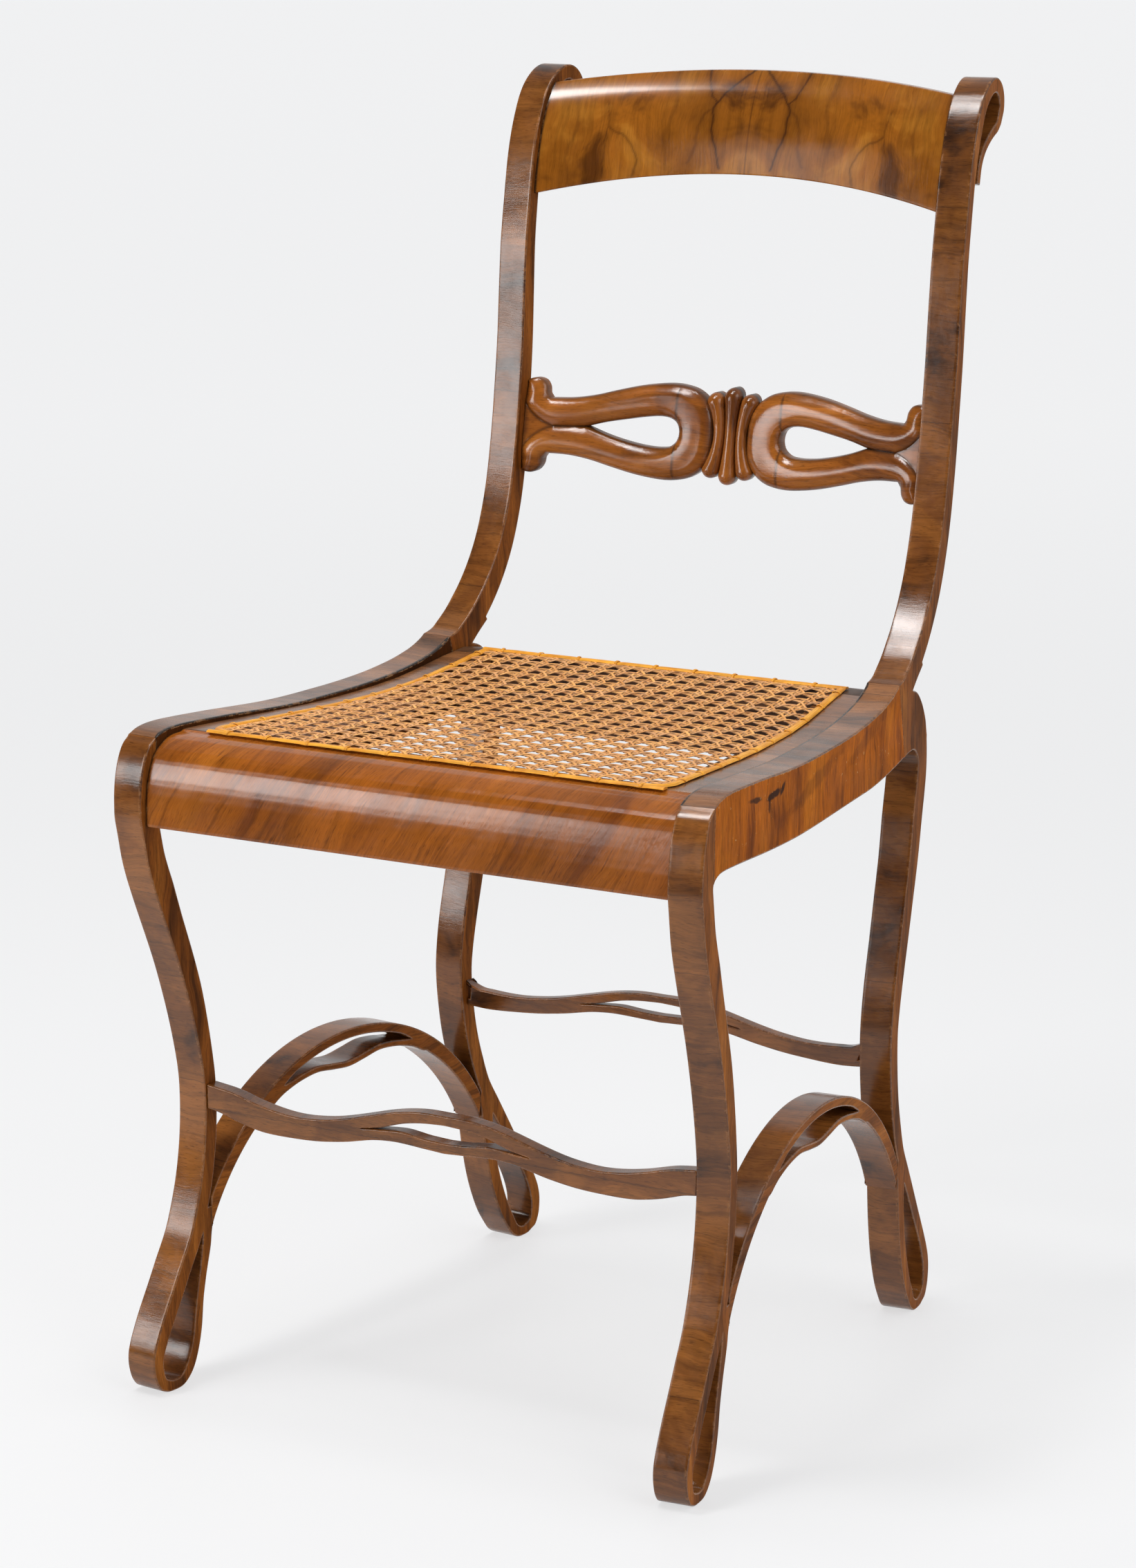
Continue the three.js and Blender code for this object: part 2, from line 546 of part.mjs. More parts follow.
function frontRail() {
  const knee = smooth([...scaled(kneeShares, frontReach, seatHeight),
    ...railScaled(ribbonTopShares.slice(1, 3))], 16)
    .map((at) => point([at.x + frontRailSetback, at.y - frontRailSetback]));
  const front = knee[0].x;
  const top = seatTop(-caneFront);
  const shelfEnd = -caneFront + caneBorder;
  const outline = [
    point([front, frontRailBottom]),
    point([front + frontRailThickness, frontRailBottom]),
    point([front + frontRailThickness, top - 2 * frontShelfThickness]),
    point([front + 2 * frontRailThickness, top - frontShelfThickness]),
    point([shelfEnd, top - frontShelfThickness]),
    point([shelfEnd, seatTop(shelfEnd)]),
    point([-caneFront, top]),
    ...knee.filter((at) => at.x < -caneFront - 1).reverse()];
  const long = middleWidth + overrun;
  const bar = sideBoard(outline, long, -long / 2);
  const stripSpace = seatStrip(fitGap);
  const body = cut(betweenSides(bar), stripSpace, mirrored(stripSpace));
  return withTenons(body, tenons.frontRail(0));
}

function rearRail() {
  const back = rearRailFront + rearRailThickness;
  const foot = rearRailTop - rearRailDrop;
  const outline = [
    point([rearRailFront, foot]), point([back, foot]), point([back, seatTop(back)]),
    point([caneBack, seatTop(caneBack)]), point([rearRailFront, seatTop(rearRailFront)])];
  const long = middleWidth + overrun;
  return withTenons(betweenSides(sideBoard(outline, long, -long / 2)), tenons.rearRail(0));
}

// Half the cane's width at a place along the seat
const caneHalf = (place) => innerHalf(place, seatHeight) - caneMargin;

// Rings of a strip of cane along a list of places, wound for a strip that runs back or to the left
function bindingRings(places) {
  const lift = fitGap + caneThickness + fitGap;
  const half = bindingWidth / 2;
  return places.map(([x, y, acrossX, acrossY]) => {
    const corner = (side, up) => [
      x + side * half * acrossX, y + side * half * acrossY, seatTop(y + side * half * acrossY) + lift + up];
    return [corner(-1, bindingThickness), corner(1, bindingThickness), corner(1, 0), corner(-1, 0)];
  });
}

function sideBinding() {
  const stations = rowsBetween(-caneFront + bindingWidth + fitGap, caneBack - bindingWidth - fitGap);
  return loft(bindingRings(stations.map((y) => [caneHalf(y) - bindingWidth / 2, y, 1, 0])));
}

function crossBinding(y) {
  const half = caneHalf(y);
  return loft(bindingRings([[half, y, 0, 1], [-half, y, 0, 1]]));
}

// The woven seat as a net: each cell has one four-sided gap
function canePanel() {
  const points = [];
  const index = new Map();
  const vertex = (u, v, level) => {
    const key = `${u.toFixed(4)},${v.toFixed(4)},${level}`;
    if (!index.has(key)) {
      const y = THREE.MathUtils.lerp(-caneFront, caneBack, v / gapsBack);
      const x = THREE.MathUtils.lerp(-caneHalf(y), caneHalf(y), u / gapsAcross);
      index.set(key, points.length);
      points.push([x, y, seatTop(y) + fitGap + level * caneThickness]);
    }
    return index.get(key);
  };
  const order = [];
  const quad = (a, b, c, d) => order.push(a, b, c, a, c, d);
  const reach = gapShare / 2;
  const around = [[0.5, 0.5 - reach], [0.5 + reach, 0.5], [0.5, 0.5 + reach], [0.5 - reach, 0.5]];
  const corners = [[0, 0], [1, 0], [1, 1], [0, 1]];
  for (let i = 0; i < gapsAcross; i++) {
    for (let j = 0; j < gapsBack; j++) {
      for (let k = 0; k < 4; k++) {
        const next = (k + 1) % 4;
        const at = ([u, v], level) => vertex(i + u, j + v, level);
        order.push(at(corners[k], 1), at(corners[next], 1), at(around[k], 1));
        order.push(at(corners[next], 1), at(around[next], 1), at(around[k], 1));
        order.push(at(corners[next], 0), at(corners[k], 0), at(around[k], 0));
        order.push(at(around[next], 0), at(corners[next], 0), at(around[k], 0));
        quad(at(around[k], 1), at(around[next], 1), at(around[next], 0), at(around[k], 0));
      }
    }
  }
  for (let i = 0; i < gapsAcross; i++) {
    quad(vertex(i, 0, 0), vertex(i + 1, 0, 0), vertex(i + 1, 0, 1), vertex(i, 0, 1));
    quad(vertex(i + 1, gapsBack, 0), vertex(i, gapsBack, 0), vertex(i, gapsBack, 1),
      vertex(i + 1, gapsBack, 1));
  }
  for (let j = 0; j < gapsBack; j++) {
    quad(vertex(0, j + 1, 0), vertex(0, j, 0), vertex(0, j, 1), vertex(0, j + 1, 1));
    quad(vertex(gapsAcross, j, 0), vertex(gapsAcross, j + 1, 0), vertex(gapsAcross, j + 1, 1),
      vertex(gapsAcross, j, 1));
  }
  const geometry = new THREE.BufferGeometry();
  geometry.setAttribute('position', new THREE.Float32BufferAttribute(points.flat(), 3));
  geometry.setIndex(order);
  return geometry;
}

// How far the crest and the mid rail are hollowed at a distance from the middle
const bowAt = (x) => crestBow * (1 - (x / midRailSpan) ** 2);

function crestRail() {
  const end = midRailSpan + tenonDepth;
  const rings = [];
  for (let i = 0; i <= crestStations; i++) {
    const x = THREE.MathUtils.lerp(-end, end, i / crestStations);
    const share = 1 - (x / midRailSpan) ** 2;
    const face = [];
    for (let j = 0; j <= crestSteps; j++) {
      const up = j / crestSteps;
      const level = THREE.MathUtils.lerp(crestFoot, crestHead, up);
      const rise = share * THREE.MathUtils.lerp(crestFootRise, crestHeadRise, up);
      face.push([x, stileFrontAt(level) + crestSetback + bowAt(x), level + rise]);
    }
    const behind = face.map(([, y, z]) => [x, y + crestThickness, z]).reverse();
    rings.push([...face, ...behind].reverse());
  }
  return withTenons(betweenSides(loft(rings)), tenons.crest(0));
}

// Mid rail: one loop with its two arms and curled ends, shares of the span and of the half height
const loopTopShares = [
  [0.083, 0], [0.092, 0.42], [0.128, 0.72], [0.185, 0.91], [0.25, 0.99], [0.31, 1.01], [0.38, 0.985],
  [0.47, 0.92], [0.58, 0.8], [0.68, 0.68], [0.78, 0.605], [0.885, 0.585]];
const curlTopShares = [[0.9, 0.68], [0.905, 0.82], [0.925, 0.95], [0.957, 1], [0.985, 0.98], [1.03, 0.93]];
const loopHoleShares = [
  [0.7, 0.02], [0.61, 0.125], [0.51, 0.21], [0.42, 0.28], [0.35, 0.31], [0.3, 0.28], [0.267, 0.18],
  [0.256, 0], [0.267, -0.18], [0.3, -0.3], [0.35, -0.335], [0.42, -0.32], [0.51, -0.25], [0.61, -0.13]];

const midRailPlace = ([x, z]) => point([x * midRailSpan, z * midRailHalf]);
const roundedFace = (round) => ({
  bevelEnabled: true, bevelThickness: round, bevelSize: round, bevelOffset: -round, bevelSegments: 1 });

// Bends a flat board of the mid rail to the back's hollow and lean
function bowed(geometry) {
  const place = geometry.attributes.position;
  for (let i = 0; i < place.count; i++) {
    const x = place.getX(i);
    const z = place.getZ(i);
    place.setXYZ(i, x, place.getY(i) + bowAt(x) + z * midRailLean, z + midRailHeight);
  }
  return geometry;
}

function carvedBoard(outline, round, holes = []) {
  const flat = midRailThickness - 2 * round;
  return bowed(crossBoard(outline, midRailS + round, flat, holes, roundedFace(round)));
}

function loopBoard() {
  const top = [
    ...smooth(loopTopShares.map(midRailPlace), 22), ...smooth(curlTopShares.map(midRailPlace), 8)];
  const foot = top.slice(1).map((at) => point([at.x, -at.y])).reverse();
  const hole = smooth([...loopHoleShares, loopHoleShares[0]].map(midRailPlace), 24).slice(0, -1);
  return carvedBoard([...top, ...foot].reverse(), midRailRound, [hole.reverse()]);
}

function reedBoard(side) {
  const height = midRailHalf - Math.abs(side) * reedShort;
  const steps = 10;
  const edge = (sign) => Array.from({ length: steps + 1 }, (_, i) => {
    const up = THREE.MathUtils.lerp(-1, 1, i / steps);
    const waist = 1 - up ** 2;
    const middle = side * THREE.MathUtils.lerp(reedSpread, reedWaistSpread, waist);
    const half = THREE.MathUtils.lerp(reedEnd, reedWaist, waist);
    return point([middle + sign * half, up * (height - reedEnd)]);
  });
  const cap = (up) => [1, 2, 3].map((turn) => {
    const angle = turn * Math.PI / 4;
    return point([side * reedSpread + up * reedEnd * Math.cos(angle),
      up * (height - reedEnd + reedEnd * Math.sin(angle))]);
  });
  const outline = [...edge(1), ...cap(1), ...edge(-1).reverse(), ...cap(-1)];
  return carvedBoard(outline, reedRoundShare * reedWaist);
}

// The plain back of the middle, which the reeds and the loops are carved on
function hubBoard() {
  const [x, z] = [hubWidthShare * midRailSpan, hubHeightShare * midRailHalf];
  const outline = [point([-x, -z]), point([x, -z]), point([x, z]), point([-x, z])];
  return bowed(crossBoard(outline, midRailS + midRailThickness / 2, midRailThickness / 2 - midRailRound));
}

const midRailLoops = join(loopBoard(), mirrored(loopBoard()));
const sideOfJoint = (low, high) => block([low, -overrun, 0], [high, scrollReach + overrun, overallHeight]);

function dowelAt(side, up, grow = 0) {
  const x = side * midRailJoint;
  const z = up * armPlace;
  const y = midRailS + midRailThickness / 2 + bowAt(x) + z * midRailLean;
  return new THREE.CylinderGeometry(dowelRadius + grow, dowelRadius + grow, dowelLength + 2 * grow, 12)
    .rotateZ(Math.PI / 2).translate(x, y, z + midRailHeight);
}

const dowelHoles = [-1, 1].flatMap((side) => [-1, 1].map((up) => dowelAt(side, up, fitGap)));

function midRailEnd() {
  const outer = cut(midRailLoops, sideOfJoint(-scrollReach, midRailJoint + fitGap / 2));
  const right = [tenons.midRailTop(0), tenons.midRailFoot(0)].map(onRight);
  return cut(join(cut(outer, outside), ...right), ...dowelHoles);
}

function midRailCentre() {
  const joint = midRailJoint - fitGap / 2;
  const loops = cut(midRailLoops, sideOfJoint(joint, scrollReach), sideOfJoint(-scrollReach, -joint));
  return cut(join(loops, hubBoard(), reedBoard(-1), reedBoard(0), reedBoard(1)), ...dowelHoles);
}

// Stretchers: right half of the wavy top and foot, shares of the half span and of the drop
const stretcherTopShares = [
  [0, 1.41], [0.09, 1.41], [0.18, 1.28], [0.27, 1.03], [0.37, 0.7], [0.48, 0.4], [0.6, 0.26], [0.7, 0.34],
  [0.8, 0.56], [0.9, 0.86], [1.04, 1.06]];
const stretcherFootShares = [
  [0, -0.19], [0.09, -0.13], [0.2, -0.06], [0.3, -0.16], [0.4, -0.42], [0.52, -0.63], [0.64, -0.7],
  [0.76, -0.67], [0.87, -0.42], [0.95, -0.14], [1.04, 0]];
const eyeTopShares = [[-1, 0.27], [-0.75, 0.47], [-0.5, 0.78], [-0.25, 0.95], [0, 1.01]];
const eyeFootShares = [[1, 0.27], [0.72, 0.37], [0.5, 0.42], [0.25, 0.3], [0, 0.25]];

function wavyBoard(front, thickness, ends, drop, arch) {
  const foot = ends - drop;
  const archAt = (x) => arch * (1 - (x / stretcherHalfSpan) ** 2);
  const at = ([x, z], reach) => point([x * reach, foot + z * drop + archAt(x * reach)]);
  const both = (shares, reach, steps) => {
    const half = smooth(shares.map((share) => at(share, reach)), steps);
    return [...half.slice(1).reverse().map(({ x, y }) => point([-x, y])), ...half];
  };
  const top = both(stretcherTopShares, stretcherHalfSpan, 20).reverse();
  const under = both(stretcherFootShares, stretcherHalfSpan, 20);
  const eyeTop = both(eyeTopShares.map(([x, z]) => [-x, z]).reverse(), stretcherEye, 8);
  const eyeFoot = both([...eyeFootShares].reverse(), stretcherEye, 8).reverse();
  return crossBoard([...under, ...top], front, thickness, [[...eyeTop, ...eyeFoot.slice(1, -1)]]);
}

function frontStretcher() {
  const front = frontStretcherS - stretcherThickness / 2;
  const board = wavyBoard(front, stretcherThickness, stretcherTop, stretcherDrop, 0);
  return withTenons(betweenSides(board), tenons.frontStretcher(0));
}

function rearStretcher() {
  const front = rearStretcherS - rearLegThickness / 2 + rearStretcherSetback;
  const board = wavyBoard(
    front, rearStretcherThickness, rearStretcherTop, rearStretcherDrop, rearStretcherArch);
  return withTenons(betweenSides(board), tenons.rearStretcher(0));
}

// The chair
const chair = new THREE.Group();
chair.name = 'side_chair';

function add(parent, name, geometry, material) {
  const mesh = new THREE.Mesh(geometry, material);
  mesh.name = name;
  parent.add(mesh);
  return mesh;
}

// Both side frames, from the same boards: the left one is the right one mirrored
const boards = {
  front_leg: [frontLeg(), showwood],
  side_rail: [sideRail(), veneer],
  rear_post: [rearPost(), showwood],
  side_arch: [sideArch(), showwood],
};
for (const [side, sign] of [['right', 1], ['left', -1]]) {
  const frame = new THREE.Group();
  frame.position.x = sign * middleWidth / 2;
  frame.rotation.z = sign * sideTaper;
  for (const [name, [board, material]] of Object.entries(boards)) {
    const leaned = board.clone().applyMatrix4(lean);
    add(frame, `${name}_${side}`, sign > 0 ? leaned : mirrored(leaned), material);
  }
  chair.add(frame);
}

add(chair, 'front_rail', frontRail(), veneer);
add(chair, 'seat_strip_right', betweenSides(seatStrip()), innerWood);
add(chair, 'seat_strip_left', mirrored(betweenSides(seatStrip())), innerWood);
add(chair, 'rear_rail', rearRail(), innerWood);
add(chair, 'crest_rail', crestRail(), veneer);
add(chair, 'mid_rail_centre', midRailCentre(), showwood);
add(chair, 'mid_rail_right', midRailEnd(), showwood);
add(chair, 'mid_rail_left', mirrored(midRailEnd()), showwood);
for (const [level, up] of [['upper', 1], ['lower', -1]]) {
  add(chair, `mid_rail_dowel_right_${level}`, dowelAt(1, up), innerWood);
  add(chair, `mid_rail_dowel_left_${level}`, dowelAt(-1, up), innerWood);
}
add(chair, 'front_stretcher', frontStretcher(), showwood);
add(chair, 'rear_stretcher', rearStretcher(), showwood);
add(chair, 'cane_panel', canePanel(), cane);
add(chair, 'cane_binding_right', sideBinding(), caneStrip);
add(chair, 'cane_binding_left', mirrored(sideBinding()), caneStrip);
add(chair, 'cane_binding_front', crossBinding(-caneFront + bindingWidth / 2), caneStrip);
add(chair, 'cane_binding_rear', crossBinding(caneBack - bindingWidth / 2), caneStrip);

// The origin moves to the floor under the middle of the chair
chair.updateMatrixWorld(true);
const box = new THREE.Box3().setFromObject(chair, true);
chair.position.set(0, -(box.min.y + box.max.y) / 2, -box.min.z);

export default chair;
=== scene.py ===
import math

import bmesh
import bpy
import numpy as np
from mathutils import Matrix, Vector, noise
from mathutils.geometry import delaunay_2d_cdt, tessellate_polygon


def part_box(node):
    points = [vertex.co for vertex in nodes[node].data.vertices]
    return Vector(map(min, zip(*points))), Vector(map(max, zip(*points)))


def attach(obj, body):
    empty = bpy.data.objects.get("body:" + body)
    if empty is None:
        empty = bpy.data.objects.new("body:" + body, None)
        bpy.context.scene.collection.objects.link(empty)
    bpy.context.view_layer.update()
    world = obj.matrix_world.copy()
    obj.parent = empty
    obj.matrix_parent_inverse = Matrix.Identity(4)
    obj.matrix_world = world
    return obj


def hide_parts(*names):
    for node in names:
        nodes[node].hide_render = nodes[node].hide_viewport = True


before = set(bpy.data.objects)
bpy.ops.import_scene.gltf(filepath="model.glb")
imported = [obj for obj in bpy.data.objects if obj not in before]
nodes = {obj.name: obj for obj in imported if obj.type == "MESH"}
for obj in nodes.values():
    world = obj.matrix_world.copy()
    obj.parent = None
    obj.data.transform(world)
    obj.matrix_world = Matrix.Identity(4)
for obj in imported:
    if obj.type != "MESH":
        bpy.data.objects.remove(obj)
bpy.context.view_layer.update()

# Side frames: flat boards that lean out and turn in towards the back
MIDDLE_HALF = 0.19475           # outer face, at the floor, half way back
HALF_WAY = -0.0404367           # place of that half way point
TAPER = math.radians(5.44)
LEAN = 0.015
STRAP = 0.0235                  # thickness of a side frame
SOLE_CUT = 0.0005
FIT_GAP = 0.0002                # what is left open where a cross piece meets a side frame
RAIL_GAP = 0.0007               # the same at the front rail, whose joint has opened

# Edges of the sawn boards
EDGE_RADIUS = 0.0010
NO_AREA = 1e-13                 # twice the area of a triangle that is left out
JOINT_RADIUS = 0.00015          # edge beside a glued joint or a saw cut
WEAR_REACH = 0.0007
NEAR_JOINT = 0.0011
OUTLINE_STEP = 0.0016
CLOSE_POINTS = 0.00125
CORNER_TURN = math.radians(55)
TIP_TURN = math.radians(110)
JOINT_TURN = math.radians(28)
JOINT_LENGTH = 0.0195           # a straight this long beside a turn is a joint's end


# Points and places
def side_to_chair(local, side=1):
    """Places in a side frame (outwards, back, up) as places in the chair."""
    depth, along, up = np.asarray(local, float).T
    out = depth + LEAN * up
    across = MIDDLE_HALF + math.cos(TAPER) * out - math.sin(TAPER) * along
    back = HALF_WAY + math.sin(TAPER) * out + math.cos(TAPER) * along
    return np.stack([side * across, back, up - SOLE_CUT], 1)


def chair_to_side(points):
    across, back, height = np.asarray(points, float).T
    across, back, up = across - MIDDLE_HALF, back - HALF_WAY, height + SOLE_CUT
    out = math.cos(TAPER) * across + math.sin(TAPER) * back
    along = math.cos(TAPER) * back - math.sin(TAPER) * across
    return np.stack([out - LEAN * up, along, up], 1)


def inner_half(back, height, gap=FIT_GAP):
    """Half the room between the side frames at a place."""
    out = -STRAP - gap + LEAN * (height + SOLE_CUT)
    along = (back - HALF_WAY - math.sin(TAPER) * out) / math.cos(TAPER)
    return MIDDLE_HALF + math.cos(TAPER) * out - math.sin(TAPER) * along


def merged_mesh(name):
    """A node's points, each place once, and its triangles."""
    mesh = nodes[name].data
    places = np.empty(len(mesh.vertices) * 3)
    mesh.vertices.foreach_get("co", places)
    places = places.reshape(-1, 3)
    mesh.calc_loop_triangles()
    triangles = np.empty(len(mesh.loop_triangles) * 3, int)
    mesh.loop_triangles.foreach_get("vertices", triangles)
    grid = np.round(places / 2e-6).astype(int)
    _, first, place_of = np.unique(grid, axis=0, return_index=True, return_inverse=True)
    return places[first], place_of.reshape(-1)[triangles].reshape(-1, 3)


def face_outlines(places, triangles, axis, value, tolerance=6e-5):
    """Outlines of the flat face where one coordinate has a value, as lists of points."""
    flat = triangles[(np.abs(places[triangles][:, :, axis] - value) < tolerance).all(1)]
    edges = {(a, b) for tri in flat for a, b in zip(tri, np.roll(tri, -1))}
    following = {}
    for a, b in sorted(edges):
        if (b, a) not in edges:
            following.setdefault(a, []).append(b)
    outlines = []
    while following:
        at = start = min(following)
        outline = []
        while at in following:
            outline.append(at)
            onward = following[at].pop()
            if not following[at]:
                del following[at]
            at = onward
            if at == start:
                break
        outlines.append(places[outline])
    return outlines


# Outlines
def signed_area(points):
    """Twice the area inside a flat outline, positive when it runs to the left."""
    x, y = points[:, 0], points[:, 1]
    return np.sum(x * np.roll(y, -1) - np.roll(x, -1) * y)


def distance_to(points, line, closed=False):
    """Each point's distance from a line of flat points."""
    nearest = np.full(len(points), np.inf)
    ends = np.roll(line, -1, 0) if closed else line[1:]
    for a, b in zip(line, ends):
        along = b - a
        t = np.clip(((points - a) @ along) / max(along @ along, 1e-18), 0, 1)
        nearest = np.minimum(nearest, np.linalg.norm(points - a - t[:, None] * along, axis=1))
    return nearest


def run_along(points):
    """How far each point lies along a line of points."""
    return np.concatenate([[0], np.cumsum(np.linalg.norm(np.diff(points, axis=0), axis=1))])


def turns_of(points):
    """How far a closed outline turns at each point, and the length of the step from it."""
    to_next = np.roll(points, -1, 0) - points
    angles = np.arctan2(to_next[:, 1], to_next[:, 0])
    turn = (angles - np.roll(angles, 1) + math.pi) % (2 * math.pi) - math.pi
    return turn, np.hypot(*to_next.T)


def without_steps(points):
    """Joins points that lie closer together than any real step of the outline."""
    points = [Vector(p) for p in points]
    shortest = 0
    while shortest < CLOSE_POINTS and len(points) > 6:
        turn, length = turns_of(np.array(points))
        i = int(length.argmin())
        shortest = length[i]
        if shortest < CLOSE_POINTS:
            j = (i + 1) % len(points)
            sharp = max((i, j), key=lambda k: abs(turn[k]))
            tip = abs(turn[sharp]) > TIP_TURN
            points[i] = points[sharp] if tip else (points[i] + points[j]) / 2
            points.pop(j)
    return np.array(points)


def pointed(points, widest=0.004, reach=2.2):
    """Gives each blunt, two-cornered end of a hole one sharp tip."""
    turn, length = turns_of(points)
    kept = []
    skip = False
    for i, p in enumerate(points):
        j = (i + 1) % len(points)
        blunt = turn[i] < -1.2 and turn[j] < -1.2 and length[i] < widest
        if blunt:
            middle = (p + points[j]) / 2
            inward = (points[i - 1] + points[(j + 1) % len(points)]) / 2
            outward = middle - inward
            kept.append(middle + outward / np.linalg.norm(outward) * length[i] * reach)
            skip = True
        elif skip:
            skip = False
        else:
            kept.append(p)
    return np.array(kept)


def catmull(before, start, end, after, count):
    """Points from start to just before end on a smooth curve through all four."""
    knots = [0.0]
    for p, q in ((before, start), (start, end), (end, after)):
        knots.append(knots[-1] + max(np.linalg.norm(q - p), 1e-7) ** 0.5)
    t0, t1, t2, t3 = knots
    t = np.linspace(t1, t2, count, endpoint=False)[:, None]
    a1 = (t1 - t) / (t1 - t0) * before + (t - t0) / (t1 - t0) * start
    a2 = (t2 - t) / (t2 - t1) * start + (t - t1) / (t2 - t1) * end
    a3 = (t3 - t) / (t3 - t2) * end + (t - t2) / (t3 - t2) * after
    b1 = (t2 - t) / (t2 - t0) * a1 + (t - t0) / (t2 - t0) * a2
    b2 = (t3 - t) / (t3 - t1) * a2 + (t - t1) / (t3 - t1) * a3
    return (t2 - t) / (t2 - t1) * b1 + (t - t1) / (t2 - t1) * b2


def smooth_outline(points, step=OUTLINE_STEP, closed=True, corners=None):
    """Evenly spaced points on a curve through the outline's own, and which of them are corners."""
    points = np.asarray(points, float)
    count = len(points)
    if corners is None:
        turn, length = turns_of(points)
        before = np.roll(length, 1)
        corners = (np.abs(turn) > CORNER_TURN) | (
            (np.abs(turn) > JOINT_TURN) & (np.maximum(length, before) > JOINT_LENGTH))
    places, marks = [], []
    for i in range(count if closed else count - 1):
        start, end = points[i], points[(i + 1) % count]
        open_start = not closed and i == 0
        open_end = not closed and i == count - 2
        before = 2 * start - end if corners[i] or open_start else points[i - 1]
        after = 2 * end - start if corners[(i + 1) % count] or open_end else points[(i + 2) % count]
        steps = max(1, round(float(np.linalg.norm(end - start)) / step))
        places.extend(catmull(before, start, end, after, steps))
        marks.extend([bool(corners[i])] + [False] * (steps - 1))
    if not closed:
        places.append(points[-1])
        marks.append(False)
    return np.array(places), np.array(marks)


def outward_normals(points):
    """Unit normals out of a shape that lies to the left of its outline, and how far a corner's reach."""
    ahead = np.roll(points, -1, 0) - points
    ahead /= np.linalg.norm(ahead, axis=1)[:, None]
    behind = np.roll(ahead, 1, 0)
    middle = ahead + behind
    size = np.linalg.norm(middle, axis=1)[:, None]
    middle = np.where(size > 1e-6, middle / np.maximum(size, 1e-6), ahead)
    reach = 1 / np.maximum((middle * ahead).sum(1), 0.6)
    return np.stack([middle[:, 1], -middle[:, 0]], 1), reach


# Pieces
def new_object(name, data):
    made = bpy.data.objects.new(name, data)
    bpy.context.scene.collection.objects.link(made)
    return made


def set_values(mesh, name, kind, domain, values):
    layer = mesh.attributes.new(name, kind, domain)
    field = "vector" if kind == "FLOAT_VECTOR" else "value"
    layer.data.foreach_set(field, np.asarray(values, np.float32).ravel())


def new_piece(name, places, faces, materials, replaces=(), corner_grain=None, point_grain=None,
              face_materials=None, values=None, sharp=math.radians(38), weighted=True):
    """A piece of the chair from its points and faces, riding on the chair's one body."""
    mesh = bpy.data.meshes.new(name)
    mesh.from_pydata([tuple(p) for p in places], [], [tuple(int(i) for i in f) for f in faces])
    for material in materials:
        mesh.materials.append(material)
    if face_materials is not None:
        mesh.polygons.foreach_set("material_index", np.asarray(face_materials, np.int32))
    if corner_grain is not None:
        set_values(mesh, "grain", "FLOAT_VECTOR", "CORNER", corner_grain)
    if point_grain is not None:
        set_values(mesh, "grain", "FLOAT_VECTOR", "POINT", point_grain)
    for key, value in (values or {}).items():
        set_values(mesh, key, "FLOAT", "POINT", value)
    mesh.polygons.foreach_set("use_smooth", np.ones(len(mesh.polygons), bool))
    mesh.set_sharp_from_angle(angle=sharp)
    mesh.update()
    piece = new_object(name, mesh)
    if weighted:
        normals = piece.modifiers.new("normals", "WEIGHTED_NORMAL")
        normals.keep_sharp = True
    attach(piece, "root")
    if replaces:
        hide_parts(*replaces)
    return piece


def tube_quads(rings, around):
    """Faces between rings of points, each as a point, the one on the next ring, and the two beside those."""
    i = np.arange(around)
    low = np.arange(rings - 1)[:, None] * around
    here, beside = low + i, low + (i + 1) % around
    return np.stack([here, here + around, beside + around, beside], 2).reshape(-1, 4)


def joined(bodies):
    """Several bodies as one. Each is its places, faces, grain and the values of one attribute."""
    starts = np.cumsum([0] + [len(body[0]) for body in bodies])
    faces = [tuple(start + i for i in face) for start, body in zip(starts, bodies) for face in body[1]]
    places, grain, values = (np.concatenate([body[k] for body in bodies]) for k in (0, 2, 3))
    return places, faces, grain, values


EDGE_TURNS = [math.radians(a) for a in (0, 30, 60, 90)]
INNER_RINGS = 1 + len(EDGE_TURNS)       # the rings of a board on its inner face and that face's rounding


def section_rings(thickness, radius):
    """Rounded edges of a board: inset, depth and wear of each ring, from the inner face to the outer."""
    rounding = [(radius * (1 - math.sin(a)), radius * (1 - math.cos(a))) for a in EDGE_TURNS]
    return [
        (radius + WEAR_REACH, -thickness, 0.0),
        *[(inset, -thickness + depth, 1.0) for inset, depth in rounding],
        (0.0, -thickness + radius + 2 * WEAR_REACH, 0.0),
        (0.0, -radius - 2 * WEAR_REACH, 0.0),
        *[(inset, -depth, 1.0) for inset, depth in reversed(rounding)],
        (radius + WEAR_REACH, 0.0, 0.0),
    ]


